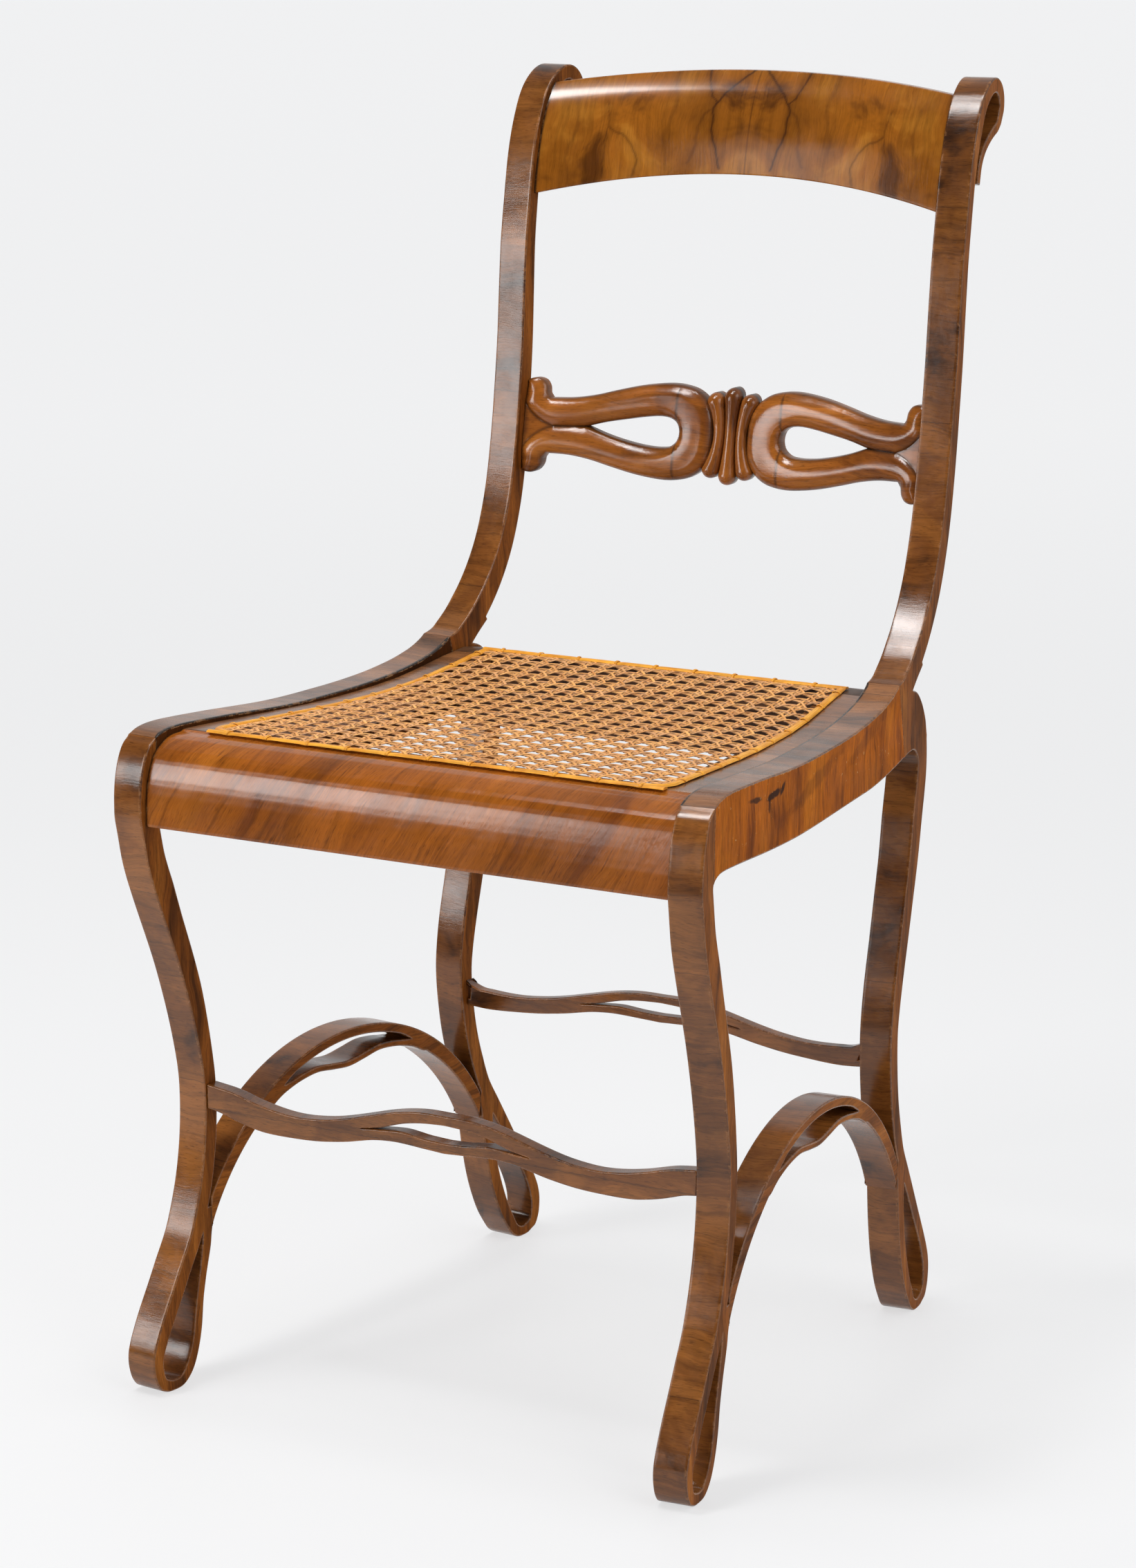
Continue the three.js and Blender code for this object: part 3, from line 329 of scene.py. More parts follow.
def board(name, outlines, radii, thickness, place, materials, seed, upright=True, mirrored=False,
          shaded_inside=False):
    """A sawn board with rounded edges. Its rim is the first material and its flat faces the second."""
    places, faces, grain, kinds, wear, inside = [], [], [], [], [], []
    inner_face, outer_face = [], []

    def face_grain(flat):
        return (*(flat if upright else flat[::-1]), seed + 0.5)

    for points, radius in zip(outlines, radii):
        count = len(points)
        normals, reach = outward_normals(points)
        arc = run_along(np.concatenate([points, points[:1]]))
        rings = section_rings(thickness, radius)
        first = sum(len(p) for p in places)
        made = []
        for ring, (inset, depth, worn) in enumerate(rings):
            flat = points - normals * (inset * reach)[:, None]
            made.append(np.column_stack([np.broadcast_to(depth, count), flat]))
            wear.append(np.full(count, worn))
            inside.append(np.full(count, ring < INNER_RINGS))
        places += made
        depths = np.array([ring[:, 0] for ring in made])
        insets = np.array([np.broadcast_to(inset, count) for inset, _, _ in rings])
        unrolled = depths - np.where(depths < -thickness / 2, -1, 1) * -insets
        for k in range(len(rings) - 1):
            low, high = first + k * count, first + (k + 1) * count
            on_face = k in (0, len(rings) - 2)
            for i in range(count):
                j = (i + 1) % count
                faces.append((low + j, high + j, high + i, low + i))
                kinds.append(int(on_face))
                for ring, at, run in ((k, j, i + 1), (k + 1, j, i + 1), (k + 1, i, i), (k, i, i)):
                    grain.append(face_grain(made[ring][at][1:]) if on_face
                                 else (arc[run], unrolled[ring][at], seed))
        inner_face.append((first, made[0][:, 1:]))
        outer_face.append((first + (len(rings) - 1) * count, made[-1][:, 1:]))
    for loops, outward in ((inner_face, False), (outer_face, True)):
        index = np.concatenate([np.arange(first, first + len(p)) for first, p in loops])
        flat = np.concatenate([p for _, p in loops])
        for tri in tessellate_polygon([[Vector((*p, 0)) for p in loop] for _, loop in loops]):
            a, b, c = (flat[t] for t in tri)
            turn = (b[0] - a[0]) * (c[1] - a[1]) - (b[1] - a[1]) * (c[0] - a[0])
            if abs(turn) < NO_AREA:
                continue
            order = tri if (turn > 0) == outward else tri[::-1]
            faces.append(tuple(index[t] for t in order))
            kinds.append(1)
            grain += [face_grain(flat[t]) for t in order]
    if mirrored:
        ends = np.cumsum([len(face) for face in faces])
        grain = [g for end, face in zip(ends, faces) for g in reversed(grain[end - len(face):end])]
        faces = [face[::-1] for face in faces]
    values = {"edge": np.concatenate(wear)}
    # Painted shade: the side rail's inner face and its rounding are marked here, and its materials darken them as
    # if in shadow beside the seat
    if shaded_inside:
        values["inside"] = np.concatenate(inside) * 1.0
    new_piece(name, place(np.concatenate(places)), faces, materials, replaces=[name.replace("look_", "")],
              corner_grain=grain, face_materials=kinds, values=values)


def edge_radii(outlines, others):
    """The edge radius at each point: small beside a joint or a saw cut, full elsewhere."""
    radii = []
    for k, points in enumerate(outlines):
        count = len(points)
        near = np.full(count, np.inf)
        for other in others + [o for i, o in enumerate(outlines) if i != k]:
            for start in range(0, count, 256):
                part = points[start:start + 256]
                gap = np.linalg.norm(part[:, None] - other[None], axis=2).min(1)
                near[start:start + 256] = np.minimum(near[start:start + 256], gap)
        apart = np.abs(np.arange(count)[:, None] - np.arange(count)[None])
        apart = np.minimum(apart, count - apart)
        own = np.linalg.norm(points[:, None] - points[None], axis=2)
        near = np.minimum(near, np.where(apart > 6, own, np.inf).min(1))
        radius = np.where(near < NEAR_JOINT, JOINT_RADIUS, EDGE_RADIUS)
        for _ in range(2):
            radius = np.minimum(radius, (np.roll(radius, 1) + radius + np.roll(radius, -1)) / 3)
        radii.append(radius)
    return radii


# Node trees
class Recipe:
    """A material's nodes, with short names for the ones that are used again and again."""

    def __init__(self, name):
        self.material = bpy.data.materials.new(name)
        self.material.use_nodes = True
        self.tree = self.material.node_tree
        self.shader = self.tree.nodes["Principled BSDF"]

    def node(self, kind, inputs=(), **settings):
        made = self.tree.nodes.new("ShaderNode" + kind)
        for key, value in settings.items():
            setattr(made, key, value)
        for key, value in dict(inputs).items():
            self.put(made.inputs[key], value)
        return made

    def put(self, socket, value):
        if isinstance(value, bpy.types.NodeSocket):
            self.tree.links.new(value, socket)
        else:
            socket.default_value = value

    def set(self, **inputs):
        for key, value in inputs.items():
            self.put(self.shader.inputs[key.replace("_", " ")], value)

    def math(self, operation, a, b=0.0, clamp=False):
        return self.node("Math", {0: a, 1: b}, operation=operation, use_clamp=clamp).outputs[0]

    def plus(self, a, b):
        return self.math("ADD", a, b)

    def minus(self, a, b):
        return self.math("SUBTRACT", a, b)

    def times(self, a, b, clamp=False):
        return self.math("MULTIPLY", a, b, clamp)

    def over(self, a, b):
        return self.math("DIVIDE", a, b)

    def part(self, vector, index):
        """One of a vector's three coordinates."""
        return self.node("SeparateXYZ", {0: vector}).outputs[index]

    def vectors(self, operation, a, b):
        return self.node("VectorMath", {0: a, 1: b}, operation=operation).outputs[0]

    def value(self, name):
        return self.node("Attribute", attribute_name=name).outputs["Fac"]

    def vector(self, name):
        return self.node("Attribute", attribute_name=name).outputs["Vector"]

    def scaled(self, vector, across, along, depth=1.0):
        """Coordinates in cells of the given sizes, in metres."""
        return self.vectors("MULTIPLY", vector, (1 / across, 1 / along, depth))

    def noise(self, vector, detail=3.0, roughness=0.55, distortion=0.0, color=False):
        made = self.node("TexNoise", {"Vector": vector, "Scale": 1.0, "Detail": detail,
                                      "Roughness": roughness, "Distortion": distortion})
        return made.outputs["Color" if color else "Fac"]

    def span(self, value, low, high, to_low=0.0, to_high=1.0):
        """A value spread over a range, held at its ends, with eased ends."""
        made = self.node("MapRange", {"Value": value, "From Min": low, "From Max": high,
                                      "To Min": to_low, "To Max": to_high}, interpolation_type="SMOOTHSTEP")
        return made.outputs["Result"]

    def mix(self, share, a, b, mode="MIX"):
        made = self.node("Mix", data_type="RGBA", blend_type=mode)
        made.clamp_factor = True
        self.put(made.inputs[0], share)
        self.put(made.inputs[6], a if isinstance(a, bpy.types.NodeSocket) else (*a, 1))
        self.put(made.inputs[7], b if isinstance(b, bpy.types.NodeSocket) else (*b, 1))
        return made.outputs[2]

    def gain(self, color, factor):
        """A colour times a factor."""
        return self.node("VectorMath", {0: color, "Scale": factor}, operation="SCALE").outputs[0]

    def bump(self, height, distance, strength):
        inputs = {"Height": height, "Distance": distance, "Strength": strength}
        return self.node("Bump", inputs).outputs["Normal"]


def wood(name, dark, middle, light, band=(0.03, 0.10), contrast=1.0, streaks=0.5, fibre=0.30, pores=0.4,
         bare=(0.36, 0.17, 0.06), worn=0.5, roughness=0.28, coat=0.3, specular=0.35, paler=0.0, seam=False,
         extra=None):
    """Polished walnut. The grain attribute runs across the fibres, along them, and names the board.

    The coat is a number, or the name of the mesh attribute that holds it.
    """
    r = Recipe(name)
    grain = r.vector("grain")
    wander = r.noise(r.scaled(grain, 0.045, 0.06, 3.1), 2.0, color=True)
    shift = r.vectors("MULTIPLY", r.vectors("SUBTRACT", wander, (0.5, 0.5, 0.5)), (0.020, 0.03, 0.0))
    bent = r.vectors("ADD", grain, shift)
    bands = r.noise(r.scaled(bent, band[0], band[1], 5.3), 4.0, 0.6, 0.4)
    bands = r.span(bands, 0.5 - paler - 0.22 / contrast, 0.5 - paler + 0.22 / contrast)
    color = r.mix(r.span(bands, 0.0, 0.5), dark, middle)
    color = r.mix(r.span(bands, 0.5, 1.0), color, light)
    lines = r.noise(r.scaled(bent, 0.0045, 0.11, 7.7), 3.0, 0.6)
    color = r.gain(color, r.span(lines, 0.36, 0.52, 1 - streaks, 1.0))
    fine = r.noise(r.scaled(bent, 0.0011, 0.03, 2.9), 3.0, 0.65)
    color = r.gain(color, r.span(fine, 0.25, 0.75, 1 - fibre, 1 + fibre * 0.7))
    pits = r.noise(r.scaled(grain, 0.00045, 0.006, 4.1), 1.0, 0.5)
    pit = r.span(pits, 0.60, 0.70)
    color = r.gain(color, r.minus(1.0, r.times(pit, pores)))
    mottle = r.noise(r.scaled(grain, 0.06, 0.06, 9.1), 3.0, 0.5)
    color = r.gain(color, r.span(mottle, 0.3, 0.7, 0.85, 1.15))
    if extra:
        color = extra(r, color, grain)
    if seam:
        color = r.mix(r.span(r.value("gap"), 0.0006, 0.0024, 0.92, 0.0), color, JOINT_AND_SHADE)
    edge = r.value("edge")
    chips = r.noise(r.scaled(grain, 0.006, 0.006, 6.0), 4.0, 0.7)
    rubbed = r.times(edge, r.span(chips, 0.50, 0.60), clamp=True)
    rubbed = r.times(rubbed, worn)
    color = r.mix(rubbed, color, bare)
    hand = r.noise(r.scaled(grain, 0.02, 0.02, 1.7), 3.0, 0.6)
    if isinstance(coat, str):
        coat = r.value(coat)
    rough = r.span(hand, 0.3, 0.7, roughness - 0.03, roughness + 0.05)
    rough = r.plus(rough, r.times(rubbed, 0.25))
    height = r.plus(r.times(fine, 0.35), r.times(pits, -0.25))
    height = r.plus(height, r.times(hand, 1.2))
    r.set(Base_Color=color, Roughness=rough, Normal=r.bump(height, 0.0002, 0.5),
          Specular_IOR_Level=specular, Coat_Weight=coat, Coat_Roughness=0.12)
    return r.material


# Colours
# Near-black of dark joints, cracks and seams, also used as painted shade in the carved mid rail's recesses and on
# the side rails' inner faces
JOINT_AND_SHADE = (0.018, 0.010, 0.006)
KNOT = (0.030, 0.010, 0.004)
CHIP = (0.62, 0.36, 0.14)
FLECK = (0.060, 0.016, 0.003)
VEIN = (0.026, 0.008, 0.003)


def darkened_by(attribute_name, color_to, strength=1.0):
    """Mixes in a colour where an attribute of the mesh says so."""
    def extra(r, color, grain):
        share = r.times(r.value(attribute_name), strength, clamp=True)
        return r.mix(share, color, color_to)
    return extra


def jointed(spacing, offset=0.0, strength=0.75):
    """Fine dark joint lines across a strap, where one length of wood ends and the next begins."""
    def extra(r, color, grain):
        run = r.part(grain, 0)
        wave = r.times(r.noise(r.scaled(grain, 0.01, 0.006, 2.2), 2.0), 0.0022)
        run = r.plus(r.plus(run, offset), wave)
        place = r.math("ABSOLUTE", r.minus(r.math("FRACT", r.over(run, spacing)), 0.5))
        line = r.span(place, 0.0, 0.00055 / spacing, strength, 0.0)
        piece = r.math("FLOOR", r.over(r.plus(run, spacing / 2), spacing))
        tone = r.noise(r.node("CombineXYZ", {0: r.times(piece, 3.7)}).outputs[0], 1.0)
        color = r.gain(color, r.span(tone, 0.35, 0.65, 0.84, 1.16))
        return r.mix(line, color, JOINT_AND_SHADE)
    return extra


def in_turn(*extras):
    """Several changes of a wood's colour, one after the other."""
    def extra(r, color, grain):
        for change in extras:
            color = change(r, color, grain)
        return color
    return extra


def knotted(r, color, grain):
    """The right side rail's knot, its faint figure and the pale chips along its top edge, and painted shade on its
    inner face.
    """
    along, up = r.node("SeparateXYZ", {0: grain}).outputs[:2]
    wobble = r.noise(r.scaled(grain, 0.010, 0.010, 2.2), 3.0, 0.6)
    for s0, z0, reach, rise, slope, depth in KNOTS:
        a = r.minus(along, s0)
        b = r.minus(r.minus(up, z0), r.times(a, slope))
        a, b = r.over(a, reach), r.over(b, rise)
        far = r.math("SQRT", r.plus(r.times(a, a), r.times(b, b)))
        far = r.plus(far, r.times(r.minus(wobble, 0.5), 1.6))
        color = r.mix(r.span(far, 0.55, 1.1, depth, 0.0), color, KNOT)
    specks = r.noise(r.scaled(grain, 0.0028, 0.0036, 2.2), 2.0, 0.6)
    where = r.noise(r.scaled(grain, 0.045, 0.020, 6.2), 2.0, 0.5)
    share = r.times(r.span(specks, 0.675, 0.71), r.span(where, 0.50, 0.62))
    color = r.mix(r.times(share, 0.8), color, CHIP)
    # Painted shade: the inner face, beside the seat, darkened almost to black
    return r.mix(r.times(r.value("inside"), 0.85), color, JOINT_AND_SHADE)


KNOTS = [                       # place along the frame and up, reach, rise, slope and depth
    (-0.1290, 0.4445, 0.0120, 0.0022, -0.10, 0.85),
    (-0.0980, 0.4420, 0.0150, 0.0030, 0.10, 0.95),
    (-0.0840, 0.4435, 0.0060, 0.0030, 0.70, 0.90),
    (-0.1065, 0.4360, 0.0026, 0.0055, 0.00, 0.75),
    (-0.0250, 0.4360, 0.0500, 0.0060, 0.25, 0.30),
    (0.0700, 0.4480, 0.0480, 0.0060, 0.35, 0.25),
]
FRONT_LINES = [(0.1325, 0.55), (0.2880, 0.60), (-0.0150, 0.30)]     # places and depths of the hairlines


def lined(r, color, grain):
    """The front rail's hairline cracks and joint, and the dark flecks of its figure."""
    run = r.part(grain, 0)
    bend = r.times(r.noise(r.scaled(grain, 0.02, 0.012, 2.2), 3.0, 0.7), 0.004)
    run = r.plus(run, bend)
    for place, depth in FRONT_LINES:
        off = r.math("ABSOLUTE", r.minus(run, place))
        color = r.mix(r.span(off, 0.0001, 0.0006, depth, 0.0), color, JOINT_AND_SHADE)
    flecks = r.noise(r.scaled(grain, 0.0024, 0.022, 8.2), 3.0, 0.65)
    where = r.noise(r.scaled(grain, 0.05, 0.03, 6.2), 2.0, 0.5)
    share = r.times(r.span(flecks, 0.58, 0.66), r.span(where, 0.48, 0.60))
    return r.mix(r.times(share, 0.55), color, FLECK)


RIBBON_LOOK = dict(dark=(0.080, 0.034, 0.014), middle=(0.190, 0.076, 0.028), light=(0.290, 0.118, 0.040),
                   band=(0.03, 0.12), streaks=0.25, fibre=0.22, roughness=0.27)
ribbon_joints = jointed(0.052, 0.01, 0.7)

rim_wood = wood("walnut_bands", (0.030, 0.011, 0.005), (0.175, 0.058, 0.012), (0.270, 0.096, 0.020),
                band=(0.040, 0.06), contrast=0.85, streaks=0.25, fibre=0.16, roughness=0.17, coat=0.0,
                specular=0.5, worn=0.45, paler=0.05, bare=(0.36, 0.15, 0.045), extra=jointed(0.147, 0.03, 0.5))
side_wood = wood("walnut_sides", (0.120, 0.038, 0.008), (0.270, 0.082, 0.013), (0.390, 0.130, 0.021),
                 band=(0.022, 0.22), streaks=0.35, fibre=0.30, worn=0.45, roughness=0.5, coat=0.0,
                 specular=0.05, bare=(0.50, 0.24, 0.08))
# The ribbon's inner face and rounding are darkened as painted shade
rail_top_wood = wood("walnut_ribbon", **RIBBON_LOOK,
                     extra=in_turn(ribbon_joints, darkened_by("inside", JOINT_AND_SHADE, 2.6)))
strip_wood = wood("walnut_strip", **RIBBON_LOOK, seam=True, extra=ribbon_joints)
rail_wood = wood("walnut_side_rail", (0.225, 0.053, 0.005), (0.440, 0.114, 0.007), (0.570, 0.168, 0.011),
                 band=(0.030, 0.10), contrast=0.8, streaks=0.28, fibre=0.30, worn=0.9,
                 bare=(0.62, 0.36, 0.17), roughness=0.45, coat=0.0, specular=0.02, extra=knotted)
front_wood = wood("walnut_front_rail", (0.150, 0.036, 0.005), (0.340, 0.094, 0.009), (0.450, 0.140, 0.015),
                  band=(0.05, 0.16), contrast=0.6, streaks=0.22, fibre=0.20, roughness=0.16, coat=0.0,
                  specular=0.5, paler=0.03, seam=True, extra=lined)
crest_wood = wood("walnut_crest", (0.092, 0.028, 0.004), (0.265, 0.085, 0.008), (0.385, 0.146, 0.017),
                  band=(0.05, 0.05), contrast=0.8, streaks=0.15, fibre=0.12, pores=0.2, roughness=0.15,
                  coat="polish", specular=0.12, seam=True, extra=darkened_by("vein", VEIN))
# The carved rail's creases and recesses are darkened as painted shade, with a real dark joint line
carved_wood = wood("walnut_carved", (0.180, 0.052, 0.009), (0.320, 0.098, 0.014), (0.420, 0.142, 0.023),
                   band=(0.03, 0.10), streaks=0.25, fibre=0.16, roughness=0.17, coat=0.0, specular=0.5,
                   extra=darkened_by("shade_and_joint", JOINT_AND_SHADE, 0.95))
inner_wood = wood("walnut_inside", (0.045, 0.022, 0.012), (0.090, 0.042, 0.020), (0.150, 0.070, 0.032),
                  band=(0.03, 0.14), roughness=0.42, coat=0.05, specular=0.2)


# Side frames
def sawn(outlines):
    """The outlines of a sawn board from those of its solid."""
    return [smooth_outline(pointed(without_steps(o)))[0] for o in outlines]


def side_outlines_of(kind):
    places, triangles = merged_mesh(kind + "_right")
    return sawn([o[:, 1:] for o in face_outlines(chair_to_side(places), triangles, 0, 0.0)])


SIDE_BOARDS = {
    "front_leg": (rim_wood, side_wood, "showwood", True),
    "side_rail": (rail_top_wood, rail_wood, "veneer", True),
    "rear_post": (rim_wood, side_wood, "showwood", True),
    "side_arch": (rim_wood, side_wood, "showwood", False),
}
side_outlines = {kind: side_outlines_of(kind) for kind in SIDE_BOARDS}

for number, (kind, (rim, face, slot_name, upright)) in enumerate(SIDE_BOARDS.items()):
    neighbours = [o for other, outs in side_outlines.items() if other != kind for o in outs]
    radii = edge_radii(side_outlines[kind], neighbours)
    for side, word in ((1, "right"), (-1, "left")):
        board(f"look_{kind}_{word}", side_outlines[kind], radii, STRAP,
              lambda p, side=side: side_to_chair(p, side), [rim, face],
              seed=2.0 * number + side * 0.7 + 1.3, upright=upright, mirrored=side < 0,
              shaded_inside=kind == "side_rail")


# Stretchers
def stretcher(name, seed):
    places, triangles = merged_mesh(name)
    backs, counts = np.unique(np.round(places[:, 1], 5), return_counts=True)
    front, back = sorted(backs[np.argsort(-counts)[:2]])
    outlines = sawn([o[:, [0, 2]] for o in face_outlines(places, triangles, 1, front)])

    def place(local):
        depth, across, up = local.T
        limit = inner_half(front - depth, up)
        return np.stack([np.clip(across, -limit, limit), front - depth, up], 1)

    board("look_" + name, outlines, [np.full(len(o), EDGE_RADIUS) for o in outlines], back - front, place,
          [rim_wood, rim_wood], seed, upright=False)


stretcher("front_stretcher", 11.3)
stretcher("rear_stretcher", 14.9)


def side_gap(places):
    """How far places between the side frames lie from the nearer frame."""
    return inner_half(places[:, 1], places[:, 2], 0) - np.abs(places[:, 0])


# Pieces that keep the solid's own shape, with softened edges
def softened(name, material, grain_of, bevel=0.0005, lower_back=0.0):
    places, triangles = merged_mesh(name)
    if lower_back:
        top_back = (places[:, 1] > places[:, 1].max() - 0.004) & (places[:, 2] > places[:, 2].max() - 0.006)
        places[top_back, 2] -= lower_back
    piece = new_piece("look_" + name, places, triangles, [material], replaces=[name],
                      point_grain=np.array([grain_of(p) for p in places]),
                      values={"edge": np.zeros(len(places)), "gap": side_gap(places)}, weighted=False)
    rounded = piece.modifiers.new("edges", "BEVEL")
    rounded.width = bevel
    rounded.segments = 2
    rounded.limit_method = "ANGLE"
    rounded.angle_limit = math.radians(40)
    rounded.harden_normals = False


for word, seed in (("right", 21.0), ("left", 23.4)):
    softened("seat_strip_" + word, strip_wood, lambda p, seed=seed: (p[1], p[0], seed))
softened("rear_rail", inner_wood, lambda p: (p[2], p[0], 25.1), lower_back=0.0032)
for side in ("right", "left"):
    for level in ("upper", "lower"):
        dowel = nodes[f"mid_rail_dowel_{side}_{level}"]
        dowel.data.materials.clear()
        dowel.data.materials.append(inner_wood)


# Front rail: a bull-nosed bar between the front legs, with a shelf for the cane between the seat strips
def section_of(name):
    """Outline of a node where the chair's middle plane cuts it, (back, up)."""
    mesh = bmesh.new()
    mesh.from_mesh(nodes[name].data)
    bmesh.ops.remove_doubles(mesh, verts=mesh.verts, dist=2e-6)
    everything = mesh.verts[:] + mesh.edges[:] + mesh.faces[:]
    made = bmesh.ops.bisect_plane(mesh, geom=everything, plane_co=(0, 0, 0), plane_no=(1, 0, 0),
                                  clear_inner=True, clear_outer=True)
    edges = [e for e in made["geom_cut"] if isinstance(e, bmesh.types.BMEdge)]
    at = edges[0].verts[0]
    outline, used = [], set()
    while True:
        outline.append((at.co.y, at.co.z))
        onward = [e for e in at.link_edges if e in set(edges) and e not in used]
        if not onward:
            break
        used.add(onward[0])
        at = onward[0].other_vert(at)
    mesh.free()
    points = np.array(outline[:-1] if outline[0] == outline[-1] else outline)
    return points if signed_area(points) > 0 else points[::-1]


def filleted(points, marks, radius):
    """Rounds the marked corners of a finely stepped outline."""
    count = len(points)
    reach = max(1, round(radius / OUTLINE_STEP))
    out = points.copy()
    for i in np.where(marks)[0]:
        a, b = points[(i - reach) % count], points[(i + reach) % count]
        for k in range(-reach + 1, reach):
            t = (k + reach) / (2 * reach)
            out[(i + k) % count] = (1 - t) ** 2 * a + 2 * t * (1 - t) * points[i] + t * t * b
    return out


SEAT_LEVEL = 0.45               # height at which widths of the seat frame are taken
FRONT_STEP = 0.0012
FRONT_FILLET = 0.0018
FRONT_SLANT = 0.55              # how much the front rail's figure leans
END_WEAR = 0.6


def front_rail():
    shelf_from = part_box("seat_strip_right")[0].y - FIT_GAP
    strip_places, _ = merged_mesh("seat_strip_right")
    strip_width = float((inner_half(strip_places[:, 1], SEAT_LEVEL, 0) - strip_places[:, 0]).max())
    outline, marks = smooth_outline(without_steps(section_of("front_rail")), FRONT_STEP)
    outline = filleted(outline, marks, FRONT_FILLET)
    front = outline[:, 0] < shelf_from
    start = int(np.where(front & ~np.roll(front, 1))[0][0])
    outline, front = np.roll(outline, -start, 0), np.roll(front, -start)
    fronts, shelf = outline[front], outline[~front]
    beside = inner_half(shelf[:, 0], SEAT_LEVEL, 0) - strip_width - FIT_GAP
    ends = np.concatenate([inner_half(fronts[:, 0], fronts[:, 1], RAIL_GAP), beside])
    profile = np.concatenate([fronts, shelf])
    arc = run_along(profile)
    stations = np.linspace(-1, 1, 121)
    places = np.concatenate([np.column_stack([t * ends, profile]) for t in stations])
    grain = [np.column_stack([t * ends - FRONT_SLANT * profile[:, 1], arc, np.full(len(arc), 31.7)])
             for t in stations]
    around, count = len(profile), len(fronts)
    faces = [tuple(q) for q in tube_quads(len(stations), around)]
    for base, turn in ((0, 1), ((len(stations) - 1) * around, -1)):
        for part in (range(count), range(count, around), (0, count - 1, count, around - 1)):
            faces.append(tuple(base + i for i in part)[::turn])
    end_share = np.abs(places[:, 0]) / np.maximum(np.tile(ends, len(stations)), 1e-6)
    new_piece("look_front_rail", places, [f[::-1] for f in faces], [front_wood],
              replaces=["front_rail"], point_grain=np.concatenate(grain),
              values={"edge": (end_share > 0.9999) * END_WEAR, "gap": side_gap(places)})


front_rail()

# Crest rail: a thin bowed board, book-matched about the middle
CREST_BOW = 0.020
CREST_FOOT_RISE = 0.018
CREST_HEAD_RISE = 0.012
CREST_EDGE = 0.0009
CREST_STEPS = (66, 10)          # up the front face and down the back
POLISH_FROM = 0.5               # the share of the crest's height above which its polish grows
POLISH_REACH = 0.4
POLISH = 0.75                   # in the middle of the top edge
POLISH_FALL = 0.25              # and how much less at the right end
SEAM_DEPTH = 0.55               # darkness of the joint in the crest's middle
VEIN_SEED = 1795984904          # without it the veins would wander another way in each run
CREST_VEINS = [                 # (from the middle, below the top edge), millimetres; then width and depth
    ([(5, -2), (8, 3), (15, 9), (24, 17), (28, 23), (31, 28), (30, 44), (25, 58), (21, 72)], 1.1, 0.9),
    ([(28, 23), (33, 19), (36, 12), (38, 5), (40, -2)], 1.0, 0.85),
    ([(31, 28), (38, 33), (41, 42), (40, 55), (46, 70)], 1.6, 0.45),
    ([(9, 3), (6, 30), (4, 60), (3, 76)], 0.7, 0.3),
    ([(113, 18), (110, 34), (112, 50), (111, 74)], 0.8, 0.55),
    ([(110, 38), (99, 44), (90, 54), (86, 64), (87, 76)], 1.1, 0.6),
    ([(64, 0), (60, 26), (66, 48), (62, 74)], 2.2, 0.3),
    ([(137, 14), (133, 34), (139, 56), (136, 74)], 1.6, 0.35),
]


def near(distance, reach):
    """1 at a distance of nothing, falling off over a reach."""
    return np.exp(-(distance / reach) ** 2)


def line_share(points, line, width):
    """How near points are to a line: 1 on it, falling off over a width."""
    return near(distance_to(points, np.array(line, float)), width)


def wandered(points, cell, reach, seed):
    """Points shifted by smooth noise."""
    shift = [noise.noise_vector(Vector((p[0] / cell, p[1] / cell, seed))) for p in points]
    return points + reach * np.array([(s.x, s.y) for s in shift])


def level_with(place, middle_points):
    """The points of the crest's middle section at the height of one of them."""
    return middle_points[np.abs(middle_points[:, 2] - place[2]) < 1e-4]


def crest_section(thickness, edge_up):
    """Share of the height and depth behind the front, from the foot of the front face round over the top."""
    def rounding(angles, top, behind):
        for a in map(math.radians, angles):
            up, deep = edge_up * (1 - math.sin(a)), CREST_EDGE * (1 - math.cos(a))
            yield 1 - up if top else up, thickness - deep if behind else deep

    front_steps, back_steps = CREST_STEPS
    return np.array([
        *[(edge_up + (1 - 2 * edge_up) * k / front_steps, 0.0) for k in range(front_steps + 1)],
        *rounding((30, 60, 90), True, False),
        *rounding((60, 30, 0), True, True),
        *[(1 - edge_up - (1 - 2 * edge_up) * k / back_steps, thickness) for k in range(1, back_steps)],
        *rounding((0, 30, 60, 90), False, True),
        *rounding((60, 30), False, False),
    ])


